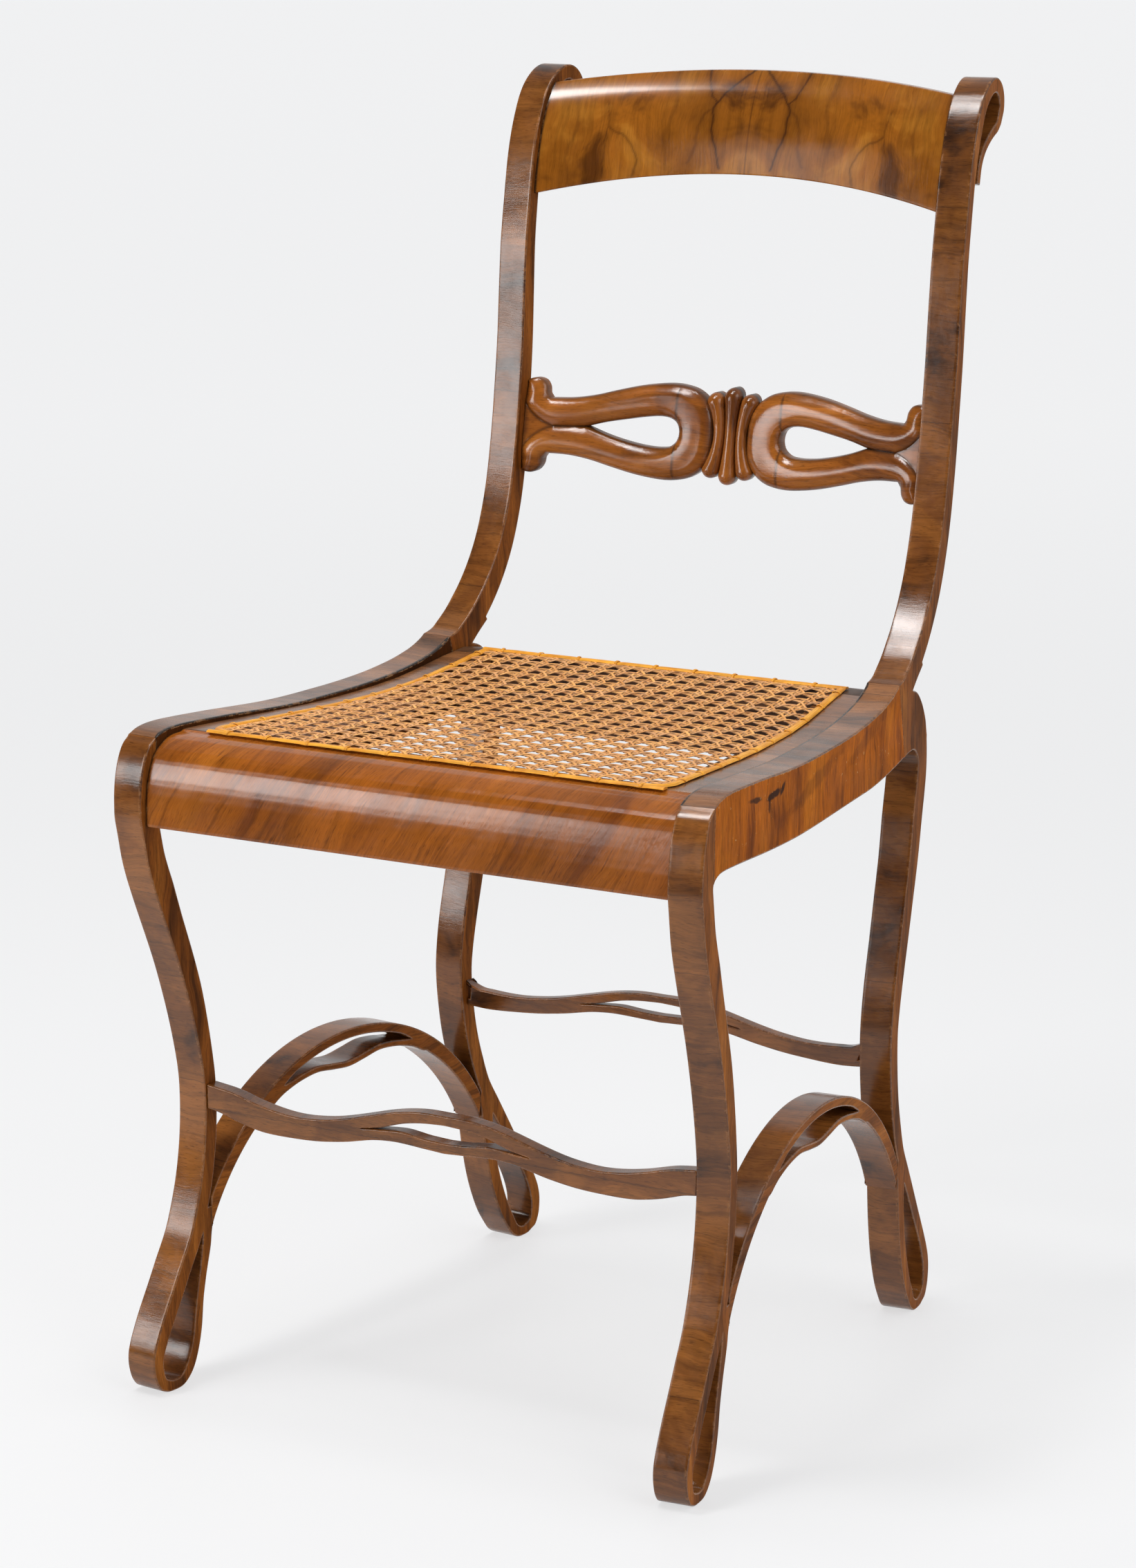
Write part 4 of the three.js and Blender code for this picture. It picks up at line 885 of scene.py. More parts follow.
def crest_rail():
    places, _ = merged_mesh("crest_rail")
    middle = places[np.abs(places[:, 0]) < 2e-5]
    middle = middle[np.argsort(middle[:, 2])]
    front_line = np.array([p for p in middle if p[1] < level_with(p, middle)[:, 1].mean()])
    thickness = float(np.ptp(level_with(middle[0], middle)[:, 1]))
    foot, head = front_line[0, 2] - CREST_FOOT_RISE, front_line[-1, 2] - CREST_HEAD_RISE
    span = inner_half(front_line[:, 1].mean() - CREST_BOW, (foot + head) / 2)
    up, behind = crest_section(thickness, CREST_EDGE / (head - foot)).T
    level = foot + up * (head - foot)
    shape = np.polyfit(np.linspace(0, 1, len(front_line)), front_line[:, 1] - CREST_BOW, 4)
    lean_back = np.polyval(shape, up)
    stations = np.linspace(-1, 1, 301)
    rings, grain, flat = [], [], []
    for t in stations:
        x = np.full(len(up), t * span)
        for _ in range(3):
            share = 1 - (x / span) ** 2
            back = lean_back + CREST_BOW * share + behind
            height = level + share * (CREST_FOOT_RISE + (CREST_HEAD_RISE - CREST_FOOT_RISE) * up)
            x = t * inner_half(back, height)
        rings.append(np.column_stack([x, back, height]))
        grain.append(np.column_stack([np.abs(x), level, np.full(len(up), 41.3)]))
        flat.append(np.column_stack([np.abs(x), head - level]))
    places = np.concatenate(rings)
    count, around = len(stations), len(up)
    faces = [tuple(q) for q in tube_quads(count, around)]
    faces += [tuple(range(around))[::-1], tuple(range(len(places) - around, len(places)))]
    flat = np.concatenate(flat) * 1000
    noise.seed_set(VEIN_SEED)
    bent = wandered(wandered(flat, 14.0, 2.0, 3.0), 4.0, 0.7, 8.0)
    vein = np.zeros(len(flat))
    for line, width, strength in CREST_VEINS:
        vein = np.maximum(vein, strength * line_share(bent, line, width))
        vein = np.maximum(vein, 0.35 * strength * line_share(bent, line, 4 * width))
    seam = SEAM_DEPTH * near(flat[:, 0], 0.5)
    vein = np.maximum(vein, seam) * np.tile(behind < thickness / 2, count)
    across = np.repeat(stations, around)
    on_edge = np.tile((behind > 1e-6) & (behind < thickness / 2), count)
    polish = np.clip((np.tile(up, count) - POLISH_FROM) / POLISH_REACH, 0, 1) * (POLISH - POLISH_FALL * across)
    new_piece("look_crest_rail", places, faces, [crest_wood], replaces=["crest_rail"],
              point_grain=np.concatenate(grain),
              values={"edge": np.maximum(on_edge, np.abs(across) > 0.9999) * 1.0, "vein": vein,
                      "gap": side_gap(places), "polish": polish})


crest_rail()

# Mid rail: two carved loops with curled ends, and three reeds between them
RAIL_LEAN = 0.17                # back per unit of height
RAIL_BOW = 0.020
RAIL_HALF = 0.034
RAIL_THICKNESS = 0.014
RAIL_JOINT = 0.042
CARVED = 0.0070                 # how deep the rounding is carved
CARVE_RADIUS = 0.0112           # half width of an arm that is carved to the full depth
BACK_ROUND = 0.0028
VALLEY = 0.45                   # height left between the arms, as a share of the carved depth
WEB = 0.30                      # and in the web at the stile
LOOP_TOP = [(0.083, 0), (0.092, 0.42), (0.128, 0.72), (0.185, 0.91), (0.25, 0.99), (0.31, 1.01),
            (0.38, 0.985), (0.47, 0.92), (0.58, 0.8), (0.68, 0.68), (0.78, 0.605), (0.885, 0.585)]
CURL_TOP = [(0.9, 0.68), (0.905, 0.82), (0.925, 0.95), (0.957, 1), (0.985, 0.98), (1.0, 0.94)]
LOOP_HOLE = [(0.7, 0.02), (0.61, 0.125), (0.51, 0.21), (0.42, 0.28), (0.35, 0.31), (0.3, 0.28),
             (0.267, 0.18), (0.256, 0), (0.267, -0.18), (0.3, -0.3), (0.35, -0.335), (0.42, -0.32),
             (0.51, -0.25), (0.61, -0.13)]
WEB_TOP = [(0.86, 0), (0.91, 0.09), (0.955, 0.23), (0.985, 0.38), (1.0, 0.5)]
REED_END = 0.0070
REED_WAIST = 0.0046
REED_SPREAD = 0.0136
REED_WAIST_SPREAD = 0.0090
REED_SHORT = 0.004
HUB_HALF = 0.0185
CARVE_STEP = 0.0011             # along the outlines
FIELD_STEP = 0.0019             # between the points of the even field
FIELD_FROM = 0.0036             # which starts this far from an edge
EDGE_ROWS = (0.0003, 0.0009, 0.0018, 0.0030)
CREASE_ROWS = (-0.0016, -0.0007, 0.0007, 0.0016)
FLIP = (1, -1)

rail_low, rail_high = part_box("mid_rail_centre")
rail_height = (rail_low.z + rail_high.z) / 2


def rail_front():
    places, _ = merged_mesh("mid_rail_centre")
    span = inner_half(rail_low.y, rail_height, 0)
    for _ in range(4):
        bow = RAIL_BOW * (1 - (places[:, 0] / span) ** 2)
        front = float((places[:, 1] - bow - RAIL_LEAN * (places[:, 2] - rail_height)).min())
        span = float(side_to_chair(np.array([[-STRAP, front - HALF_WAY, rail_height + SOLE_CUT]]))[0, 0])
    return front, span


rail_face, rail_span = rail_front()


def rail_place(x, z, depth):
    """Flat places of the mid rail, bent to the bow and lean of the back."""
    back = rail_face + depth + RAIL_BOW * (1 - (x / rail_span) ** 2) + RAIL_LEAN * z
    height = rail_height + z
    reach = np.clip((np.abs(x) / rail_span - 0.85) / 0.15, 0, 1)
    x = x + np.sign(x) * (inner_half(back, height) - rail_span) * reach
    return np.stack([x, back, height], 1)


def in_polygon(points, polygon):
    x, z = points[:, 0], points[:, 1]
    inside = np.zeros(len(points), bool)
    for (x0, z0), (x1, z1) in zip(polygon, np.roll(polygon, -1, 0)):
        crosses = (z0 > z) != (z1 > z)
        with np.errstate(divide="ignore", invalid="ignore"):
            at = x0 + (z - z0) / (z1 - z0) * (x1 - x0)
        inside ^= crosses & (x < at)
    return inside


def dome(points, triangles, fixed):
    """Solves for a smooth dome over a flat mesh that is held at the fixed points' values.

    Over a straight strip its square root is a half round.
    """
    count = len(points)
    a, b, c = triangles.T
    load = np.zeros(count)
    starts, ends, weights = [], [], []
    area = np.abs(np.cross(points[b] - points[a], points[c] - points[a])) / 2
    for i, j, k in ((a, b, c), (b, c, a), (c, a, b)):
        load += np.bincount(i, area / 3, count)
        to_j, to_k = points[j] - points[i], points[k] - points[i]
        weight = (to_j * to_k).sum(1) / np.maximum(4 * area, 1e-12)
        starts.append(j)
        ends.append(k)
        weights.append(np.clip(weight, 0.02, 20))
    starts, ends, weights = map(np.concatenate, (starts, ends, weights))
    free = np.ones(count, bool)
    values = np.zeros(count)
    for i, value in fixed.items():
        free[i] = False
        values[i] = value

    def pull(x):
        flow = weights * (x[starts] - x[ends])
        return np.bincount(starts, flow, count) - np.bincount(ends, flow, count)

    rest = (load - pull(values)) * free
    step = rest.copy()
    size = rest @ rest
    for _ in range(1200):
        if size < 1e-22:
            break
        pulled = pull(step) * free
        share = size / (step @ pulled)
        values += share * step
        rest -= share * pulled
        new_size = rest @ rest
        step = rest + new_size / size * step
        size = new_size
    return values


def spread_points(edges, creases, outline, hole):
    """Points to carve at: rows beside every edge and crease, and an even field between."""
    rows = []
    for line in edges:
        normals, _ = outward_normals(line)
        rows += [line - normals * inset for inset in EDGE_ROWS]
    for line in creases:
        side = np.gradient(line, axis=0)
        side = np.stack([side[:, 1], -side[:, 0]], 1)
        side /= np.maximum(np.linalg.norm(side, axis=1), 1e-9)[:, None]
        rows += [line + side * inset for inset in CREASE_ROWS]
    field = np.array([(x, z + (i % 2) * FIELD_STEP / 2)
                      for i, x in enumerate(np.arange(0, rail_span, FIELD_STEP))
                      for z in np.arange(-RAIL_HALF * 1.02, RAIL_HALF * 1.02, FIELD_STEP)])
    rows.append(field[np.minimum.reduce([distance_to(field, line, True) for line in edges]) > FIELD_FROM])
    points = np.concatenate(rows)
    to_edge = np.minimum.reduce([distance_to(points, line, True) for line in edges])
    to_crease = np.minimum.reduce([distance_to(points, line) for line in creases])
    keep = (to_edge > 0.00018) & (to_crease > 0.00035) & (np.abs(points[:, 0] - RAIL_JOINT) > 0.0003)
    keep &= in_polygon(points, outline) & ~in_polygon(points, hole) & (points[:, 0] < rail_span - 0.0002)
    return points[keep]


def carved_loop():
    """The right loop: flat points, triangles, how far each is carved, and how dark it is painted: shade in its
    creases and recesses, and a dark line at its joint.
    """
    size = np.array([rail_span, RAIL_HALF])
    top = np.concatenate([smooth_outline(np.array(line) * size, CARVE_STEP, closed=False)[0]
                          for line in (LOOP_TOP, CURL_TOP)])
    outline = np.concatenate([top[::-1], (top * FLIP)[1:]])
    hole, _ = smooth_outline(np.array(LOOP_HOLE) * size, CARVE_STEP,
                             corners=[i == 0 for i in range(len(LOOP_HOLE))])
    hole = hole[::-1]
    outline = outline if signed_area(outline) > 0 else outline[::-1]
    hole = hole if signed_area(hole) < 0 else hole[::-1]
    web, _ = smooth_outline(np.array(WEB_TOP) * size, 0.0012, closed=False)
    valley = np.linspace(np.array(LOOP_HOLE[0]) * size, np.array(WEB_TOP[0]) * size, 16)
    joint = np.array([(RAIL_JOINT, z) for z in np.linspace(-RAIL_HALF * 1.05, RAIL_HALF * 1.05, 50)])
    joint = joint[in_polygon(joint, outline) & ~in_polygon(joint, hole)]
    free = spread_points((outline, hole), (web, web * FLIP, valley), outline, hole)
    verts, edges = [], []
    for line, closed in ((outline, True), (hole, True), (web[:-1], False), ((web * FLIP)[1:-1], False),
                         (valley[1:-1], False)):
        first = len(verts)
        verts.extend(line)
        edges.extend((first + i, first + i + 1) for i in range(len(line) - 1))
        if closed:
            edges.append((first + len(line) - 1, first))
    first = len(verts)
    verts.extend(joint)
    edges.extend((first + i, first + i + 1) for i in range(len(joint) - 1)
                 if joint[i + 1, 1] - joint[i, 1] < 0.003)
    verts.extend(free)
    made = delaunay_2d_cdt([Vector(v) for v in verts], edges, [], 0, 1e-6)
    points = np.array([tuple(v) for v in made[0]])
    triangles = np.array([tuple(f) for f in made[2]])
    middle = points[triangles].mean(1)
    triangles = triangles[in_polygon(middle, outline) & ~in_polygon(middle, hole)]
    used, index = np.unique(triangles, return_inverse=True)
    points, triangles = points[used], index.reshape(-1, 3)
    to_rim = np.minimum(distance_to(points, outline, True), distance_to(points, hole, True))
    to_web = np.minimum(distance_to(points, web), distance_to(points, web * FLIP))
    to_valley = distance_to(points, valley)
    web_area = np.concatenate([web, [(rail_span * 1.01, web[-1, 1]), (rail_span * 1.01, -web[-1, 1])],
                               (web * FLIP)[::-1]])
    in_web = in_polygon(points, web_area) | (to_web < 2e-5)
    at_end = (points[:, 0] > rail_span * 0.9985) & (np.abs(points[:, 1]) < 0.9 * RAIL_HALF)

    def level(share):
        return (share * CARVE_RADIUS) ** 2 / 2

    fixed = {i: 0.0 for i in np.where((to_rim < 1e-5) & ~at_end)[0]}
    for i in np.where(in_web)[0]:
        fixed.setdefault(i, level(WEB))
    length = np.linalg.norm(valley[-1] - valley[0])
    for i in np.where(to_valley < 2e-5)[0]:
        along = np.linalg.norm(points[i] - valley[0]) / length
        fixed.setdefault(i, level(VALLEY * min(1, 0.25 + 2.2 * along) * (1 - 0.3 * along)))
    height = np.sqrt(2 * np.maximum(dome(points, triangles, fixed), 0)) / CARVE_RADIUS
    height = np.where(height < 1, height, 1 + 0.3 * (height - 1))
    # Painted shade along the carving's edges, in the valley between the arms, round the web and beside the reeds;
    # the crack at the joint is a real dark line
    beside_reeds = near(np.abs(points[:, 0]) - 0.012, 0.006)
    crack = near(np.abs(points[:, 0] - RAIL_JOINT), 0.0004)
    shade_and_joint = np.maximum.reduce([0.64 * near(to_rim, 0.0016), 0.9 * near(to_valley, 0.0011),
                               0.7 * near(to_web, 0.0013), beside_reeds * near(to_rim, 0.003), 0.75 * crack])
    return points, triangles, height * CARVED, to_rim, shade_and_joint


def walled(points, triangles, front, back):
    """A closed body between a front and a back depth over the same flat triangles."""
    used, index = np.unique(triangles, return_inverse=True)
    triangles = index.reshape(-1, 3)
    points, front, back = points[used], front[used], back[used]
    count = len(points)
    a, b, c = triangles.T
    turn = np.cross(points[b] - points[a], points[c] - points[a])
    triangles = np.where((turn > 0)[:, None], triangles, triangles[:, ::-1])
    faces = [tuple(t) for t in triangles]
    faces += [tuple(count + i for i in t[::-1]) for t in triangles]
    edges = {(i, j) for t in triangles for i, j in zip(t, np.roll(t, -1))}
    faces += [(j, i, count + i, count + j) for i, j in sorted(edges) if (j, i) not in edges]
    flat = np.concatenate([points, points])
    return flat, np.concatenate([front, back]), faces, used


def loop_body(side, points, triangles, front, back, shade_and_joint):
    """A part of one loop, as joined takes it."""
    flat, depth, faces, used = walled(points, triangles, front, back)
    grain = np.column_stack([flat[:, 1] + side * 0.2, flat[:, 0], np.full(len(flat), 51.0)])
    # Painted shade and the joint line, at half strength on the back
    darkening = np.concatenate([shade_and_joint[used], shade_and_joint[used] * 0.5])
    return rail_place(side * flat[:, 0], flat[:, 1], depth), [f[::side] for f in faces], grain, darkening


def reed_body(side):
    """One reed, in rings round its length: in the middle (side 0) or beside it (-1, 1)."""
    half = RAIL_HALF - abs(side) * REED_SHORT + 0.0004
    steps = 34
    rings = []
    for i in range(steps + 1):
        up = math.sin(math.pi * (i / steps - 0.5))
        inner = min(abs(up) * half / (half - REED_END), 1.0)
        waist = 1 - inner ** 2
        middle = side * (REED_SPREAD + (REED_WAIST_SPREAD - REED_SPREAD) * waist)
        past = max(0.0, (abs(up) * half - (half - REED_END)) / REED_END)
        shrink = math.sqrt(max(0.0, 1 - past ** 2))
        width = max((REED_END + (REED_WAIST - REED_END) * waist) * shrink, 0.0003)
        rise = (0.0066 + 0.0016 * inner ** 2) * max(shrink, 0.12) ** 0.8
        rings.append([(middle + width * math.cos(a), up * half, 0.0075 - rise * math.sin(a) ** 0.9)
                      for a in np.linspace(0, math.pi, 13)]
                     + [(middle + x * width, up * half, RAIL_THICKNESS - 0.001) for x in (-0.85, 0.85)])
    around = len(rings[0])
    across, up, depth = np.concatenate(rings).T
    faces = [tuple(q) for q in tube_quads(len(rings), around)[:, [1, 2, 3, 0]]]
    faces += [tuple(range(around)), tuple(range(steps * around, len(depth)))[::-1]]
    # Painted shade: the reed's flanks darken as they run back between the reeds, its back a little
    darkening = np.where(depth > 0.0085, 0.2, np.clip((depth - 0.0042) / 0.0028, 0, 1))
    return rail_place(across, up, depth), faces, np.column_stack([across, up, np.full(len(up), 53.0 + side)]), darkening


def hub_body():
    """The block that carries the reeds, behind them."""
    across, up, depth = np.array([(x * HUB_HALF, z * HUB_HALF, y) for y in (0.0075, RAIL_THICKNESS - 0.002)
                                  for x, z in ((-1, -1), (1, -1), (1, 1), (-1, 1))]).T
    faces = ((0, 1, 2, 3), (7, 6, 5, 4), (4, 5, 1, 0), (5, 6, 2, 1), (6, 7, 3, 2), (7, 4, 0, 3))
    # Painted shade: the whole hub darkened, since it sits behind the reeds
    return rail_place(across, up, depth), faces, np.column_stack([across, up, np.full(8, 55.0)]), np.full(8, 0.4)


def mid_rail():
    points, triangles, carved, to_rim, shade_and_joint = carved_loop()
    round_share = np.clip(to_rim / BACK_ROUND, 0, 1)
    back = RAIL_THICKNESS - BACK_ROUND * (1 - np.sqrt(np.maximum(0, 1 - (1 - round_share) ** 2)))
    outer = points[triangles].mean(1)[:, 0] > RAIL_JOINT
    for name, sides, chosen in (("mid_rail_right", (1,), outer), ("mid_rail_left", (-1,), outer),
                                ("mid_rail_centre", (1, -1), ~outer)):
        bodies = [loop_body(side, points, triangles[chosen], CARVED - carved, back, shade_and_joint) for side in sides]
        if name == "mid_rail_centre":
            bodies += [reed_body(-1), reed_body(0), reed_body(1), hub_body()]
        places, faces, grain, darkening = joined(bodies)
        # Each point's darkness: painted shade in the carving and behind the reeds, and the dark joint line
        new_piece("look_" + name, places, faces, [carved_wood], replaces=[name], point_grain=grain,
                  values={"edge": np.zeros(len(places)), "shade_and_joint": darkening}, sharp=math.radians(50))


mid_rail()

# Cane: six strands cross in every opening of the pattern
PITCH = 0.0156
ROWS = 20
FIRST_ROW = -0.2041             # middle of the front row of openings
ROW_PITCH = 0.0140              # at the front and the back
ROW_SWELL = 0.0016              # how much more it is half way
STRAND_WIDTH = 0.0024
STRAND_DEPTH = 0.0008
PAIR = 0.0016                   # a strand's distance from the middle line of its pair
WEAVE = 0.00035                 # rise and fall where two strands of the pairs cross
CROSSING = 0.00075              # and where a slanting strand crosses a pair
EDGE_IN = 0.0028                # the cane's edge to the holes
CANE_MARGIN = 0.020
CANE_LIFT = 0.0009              # its middle layer over the frame
PATH_STEP = 0.0012
SLANTED = 0.92                  # width of a slanting strand, as a share of the others'
CANE_FORWARD = 0.0040           # how far the front binding reaches on to the front rail
TAUT = 0.45                     # how far the taut cane rises out of the seat's dish
BINDING_WIDTH = 0.0056
BINDING_DEPTH = 0.0020
BINDING_LIFT = 0.0014
TIE_WIDTH = 0.0022
TIE_DEPTH = 0.0007
TIE_PRESS = 0.0004              # how far a tie pulls the binding down
TIES_ACROSS = [0.016 + 0.0312 * i for i in range(11)]
TIES_BESIDE = [0.034 + 0.0300 * i for i in range(10)]
BINDING_CORNER = ((0.019, 0.0012), (0.011, 0.0030), (0.0055, 0.0065), (0.0035, 0.013))   # in from the side, back

cane_low, cane_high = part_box("cane_panel")
panel_places, _ = merged_mesh("cane_panel")
row_backs = np.unique(np.round(panel_places[:, 1], 6))
row_heights = np.array([panel_places[np.abs(panel_places[:, 1] - y) < 2e-6][:, 2].min() for y in row_backs])
dish_fit = np.polyfit(row_backs, row_heights, 6)
cane_front = cane_low.y - CANE_FORWARD
cane_back = cane_high.y


def seat_top(back):
    """Height of the frame under the cane."""
    inside = np.maximum(back, cane_low.y)
    return np.polyval(dish_fit, inside) - 0.0003 - 0.33 * (inside - back)


def cane_half(back):
    return inner_half(back, 0.4575, 0) - CANE_MARGIN


def cane_level(across, back):
    """Height of the cane's middle layer: it is held down at the edges and taut between them."""
    share = np.clip((back - cane_low.y) / (cane_back - cane_low.y), 0, 1)
    chord = seat_top(cane_low.y) + share * (seat_top(cane_back) - seat_top(cane_low.y))
    rest = seat_top(back)
    free = 1 - np.clip(np.abs(across) / cane_half(back), 0, 1) ** 6
    return rest + TAUT * free * np.maximum(chord - rest, 0) + CANE_LIFT


def row_back(row):
    """Place of a row of openings; whole numbers are the openings, halves the strands between."""
    turn = math.pi / (ROWS - 1)
    return FIRST_ROW + ROW_PITCH * row + ROW_SWELL / turn * (1 - np.cos(turn * np.clip(row, 0, ROWS - 1)))


def sway(a, b, seed):
    return noise.noise(Vector((a, b, seed)))


def swayed(values, cell, reach, b, seed):
    """A small smooth wander along a strand."""
    return np.array([reach * sway(v * cell, b, seed) for v in values])


RIBBON_SECTION = np.array([(-0.5, -0.30), (-0.40, 0.28), (0.0, 0.5), (0.40, 0.28), (0.5, -0.30), (0.0, -0.42)])


def ribbon(path, width, depth, seed, roll=None):
    """A strip of cane along a path: flat below, crowned above. Returns points, faces, grain."""
    path = np.asarray(path, float)
    ahead = np.gradient(path, axis=0)
    ahead /= np.linalg.norm(ahead, axis=1)[:, None]
    side = np.cross(ahead, (0, 0, 1.0))
    side /= np.maximum(np.linalg.norm(side, axis=1), 1e-9)[:, None]
    if roll is not None:
        side = side * np.cos(roll)[:, None] + np.cross(side, ahead) * np.sin(roll)[:, None]
    over = np.cross(side, ahead)
    around = len(RIBBON_SECTION)
    points = np.concatenate([path + side * (a * width) + over * (b * depth) for a, b in RIBBON_SECTION], 1)
    points = points.reshape(-1, 3)
    grain = np.stack([np.tile(RIBBON_SECTION[:, 0] * width, len(path)), np.repeat(run_along(path), around),
                      np.full(len(points), seed)], 1)
    faces = [tuple(q) for q in tube_quads(len(path), around)[:, [0, 3, 2, 1]]]
    faces += [tuple(range(around))[::-1], tuple(range(len(points) - around, len(points)))]
    return points, faces, grain


def gathered(name, ribbons, material):
    """One piece from strips of cane, each with a tone of its own."""
    places, faces, grain, tone = joined([(*strip, np.full(len(strip[0]), (k * 0.6180339) % 1.0))
                                         for k, strip in enumerate(ribbons)])
    new_piece("look_" + name.replace("_panel", ""), places, faces, [material], replaces=[name],
              point_grain=grain, values={"tone": tone}, sharp=math.radians(80), weighted=False)


def bump_pair(t):
    """Up on one side of a crossing and down on the other, 1 and -1 at their middles."""
    return t * np.exp((1 - t * t) / 2)


def cane_path(xs, ys, wave):
    """A strand over the seat, pressed flat where it meets the frame."""
    to_edge = np.minimum(np.minimum(ys - cane_front, cane_back - ys), cane_half(ys) - np.abs(xs))
    loose = np.clip((to_edge - 0.004) / 0.008, 0, 1)
    held = 0.0004 * (1 - loose)
    return np.column_stack([xs, ys, cane_level(xs, ys) + wave * (0.35 + 0.65 * loose) - held])


def weave():
    """Pairs of strands from front to back and across, and single ones both ways at a slant."""
    ribbons = []

    def strand(xs, ys, wave, roll, width=STRAND_WIDTH):
        seed = 0.37 * (len(ribbons) + 1)
        ribbons.append(ribbon(cane_path(xs, ys, wave), width, STRAND_DEPTH, seed, roll))

    columns = int(cane_half(cane_front) / PITCH) + 1
    inner_front, inner_back = cane_front + EDGE_IN, cane_back - EDGE_IN
    rows = np.arange(-1.5, ROWS + 0.6, 0.004)
    row_at = np.interp(np.arange(inner_front, inner_back, PATH_STEP), row_back(rows), rows)
    depths = row_back(row_at)
    for column in range(-columns, columns):
        for hand in (-1, 1):
            x0 = (column + 0.5) * PITCH + hand * PAIR
            keep = cane_half(depths) - EDGE_IN > abs(x0)
            if keep.sum() < 12:
                continue
            ys, along = depths[keep], (row_at + 0.5)[keep]
            wave = WEAVE * hand * bump_pair((along - np.round(along)) * PITCH / PAIR)
            strand(x0 + swayed(ys, 28, 0.0004, column * 3.7, hand), ys, wave,
                   swayed(ys, 60, 0.35, column * 1.9, hand + 5))
    for row in range(-1, ROWS):
        for hand in (-1, 1):
            y0 = float(row_back(row + 0.5)) + hand * PAIR
            if not inner_front < y0 < inner_back:
                continue
            reach = float(cane_half(y0)) - EDGE_IN
            xs = np.arange(-reach, reach, PATH_STEP)
            across = xs / PITCH + 0.5
            wave = -WEAVE * hand * bump_pair((across - np.round(across)) * PITCH / PAIR)
            strand(xs, y0 + swayed(xs, 28, 0.0004, row * 4.3, hand + 9), wave,
                   swayed(xs, 60, 0.35, row * 2.3, hand + 15))
    span = columns + ROWS + 2
    for slope in (1, -1):
        for line in range(-span, span + 1):
            u = slope * (line + 0.5 - row_at)
            keep = np.abs(u * PITCH) < cane_half(depths) - EDGE_IN
            if keep.sum() < 6:
                continue
            ys, u = depths[keep], u[keep]
            wave = slope * CROSSING * np.cos(2 * math.pi * (u + 0.5))
            strand(u * PITCH + swayed(ys, 22, 0.0005, line * 2.1, slope + 21), ys, wave,
                   swayed(ys, 50, 0.3, line * 1.3, slope + 31), STRAND_WIDTH * SLANTED)
    return ribbons


def fibrous(name, line_cell, patch_cell, dark, light):
    """How both cane materials start: a recipe, its grain, fine lines, patches and a colour from the patches."""
    r = Recipe(name)
    grain = r.vector("grain")
    lines = r.noise(r.scaled(grain, *line_cell, 3.0), 3.0, 0.6)
    patches = r.noise(r.scaled(grain, *patch_cell, 2.0), 3.0, 0.6)
    return r, grain, lines, patches, r.mix(r.span(patches, 0.3, 0.7), dark, light)


def cane_material():
    r, grain, lines, patches, color = fibrous("cane", (0.0005, 0.02), (0.006, 0.018), (0.56, 0.215, 0.050),
                                              (0.96, 0.47, 0.125))
    color = r.mix(r.times(r.span(r.value("tone"), 0.55, 1.0), 0.65), color, (0.74, 0.37, 0.16))
    color = r.gain(color, r.span(lines, 0.3, 0.7, 0.72, 1.18))
    across = r.math("ABSOLUTE", r.part(grain, 0))
    color = r.gain(color, r.span(across, 0.25 * STRAND_WIDTH, 0.5 * STRAND_WIDTH, 1.12, 0.38))
    r.set(Base_Color=color, Roughness=r.span(patches, 0.3, 0.7, 0.55, 0.38),
          Normal=r.bump(lines, 0.00015, 0.6), Coat_Weight=0.05, Coat_Roughness=0.3)
    return r.material


def binding_material():
    r, _, lines, _, color = fibrous("cane_binding", (0.0006, 0.03), (0.01, 0.02), (0.74, 0.28, 0.022),
                                    (0.98, 0.46, 0.050))
    r.set(Base_Color=r.gain(color, r.span(lines, 0.3, 0.7, 0.75, 1.12)), Roughness=0.36,
          Normal=r.bump(lines, 0.0001, 0.5), Specular_IOR_Level=0.2)
    return r.material


gathered("cane_panel", weave(), cane_material())
binding = binding_material()


def bound_edge(name, line, ties, outward):
    """A binding strip along a line of places (across, back), tied down at even distances."""
    line, outward = np.array(line, float), np.array(outward)
    arc = run_along(line)
    at = np.linspace(0, arc[-1], int(arc[-1] / 0.002) + 1)
    flat = np.stack([np.interp(at, arc, line[:, 0]), np.interp(at, arc, line[:, 1])], 1)
    flat = flat + swayed(at, 30, 0.0005, line[0, 0] * 90, 3.0)[:, None] * outward[None]
    to_tie = np.abs(at[:, None] - np.array(ties)[None]).min(1)
    height = seat_top(flat[:, 1]) + (BINDING_LIFT - TIE_PRESS * near(to_tie, 0.003))
    made = [ribbon(np.column_stack([flat, height]), BINDING_WIDTH, BINDING_DEPTH, line[0, 0] * 50 + 3)]
    for tie in ties:
        middle, ahead = (np.array([np.interp(t, at, flat[:, k]) for k in (0, 1)]) for t in (tie, tie + 0.001))
        along = (ahead - middle) / np.linalg.norm(ahead - middle)
        slant = 0.0016 * sway(tie * 30, line[0, 1] * 40, 1.0)
        path = []
        for a in np.linspace(-1.25, 1.25, 11):
            reach = (BINDING_WIDTH / 2 + 0.0005) * math.sin(a)
            rise = 0.0024 * max(0.0, math.cos(a * 1.12)) ** 0.8 + 0.0003
            path.append((*(middle + outward * reach + along * slant * a), seat_top(middle[1]) + rise))
        made.append(ribbon(path, TIE_WIDTH, TIE_DEPTH, tie * 90 + 1))
    gathered(name, made, binding)


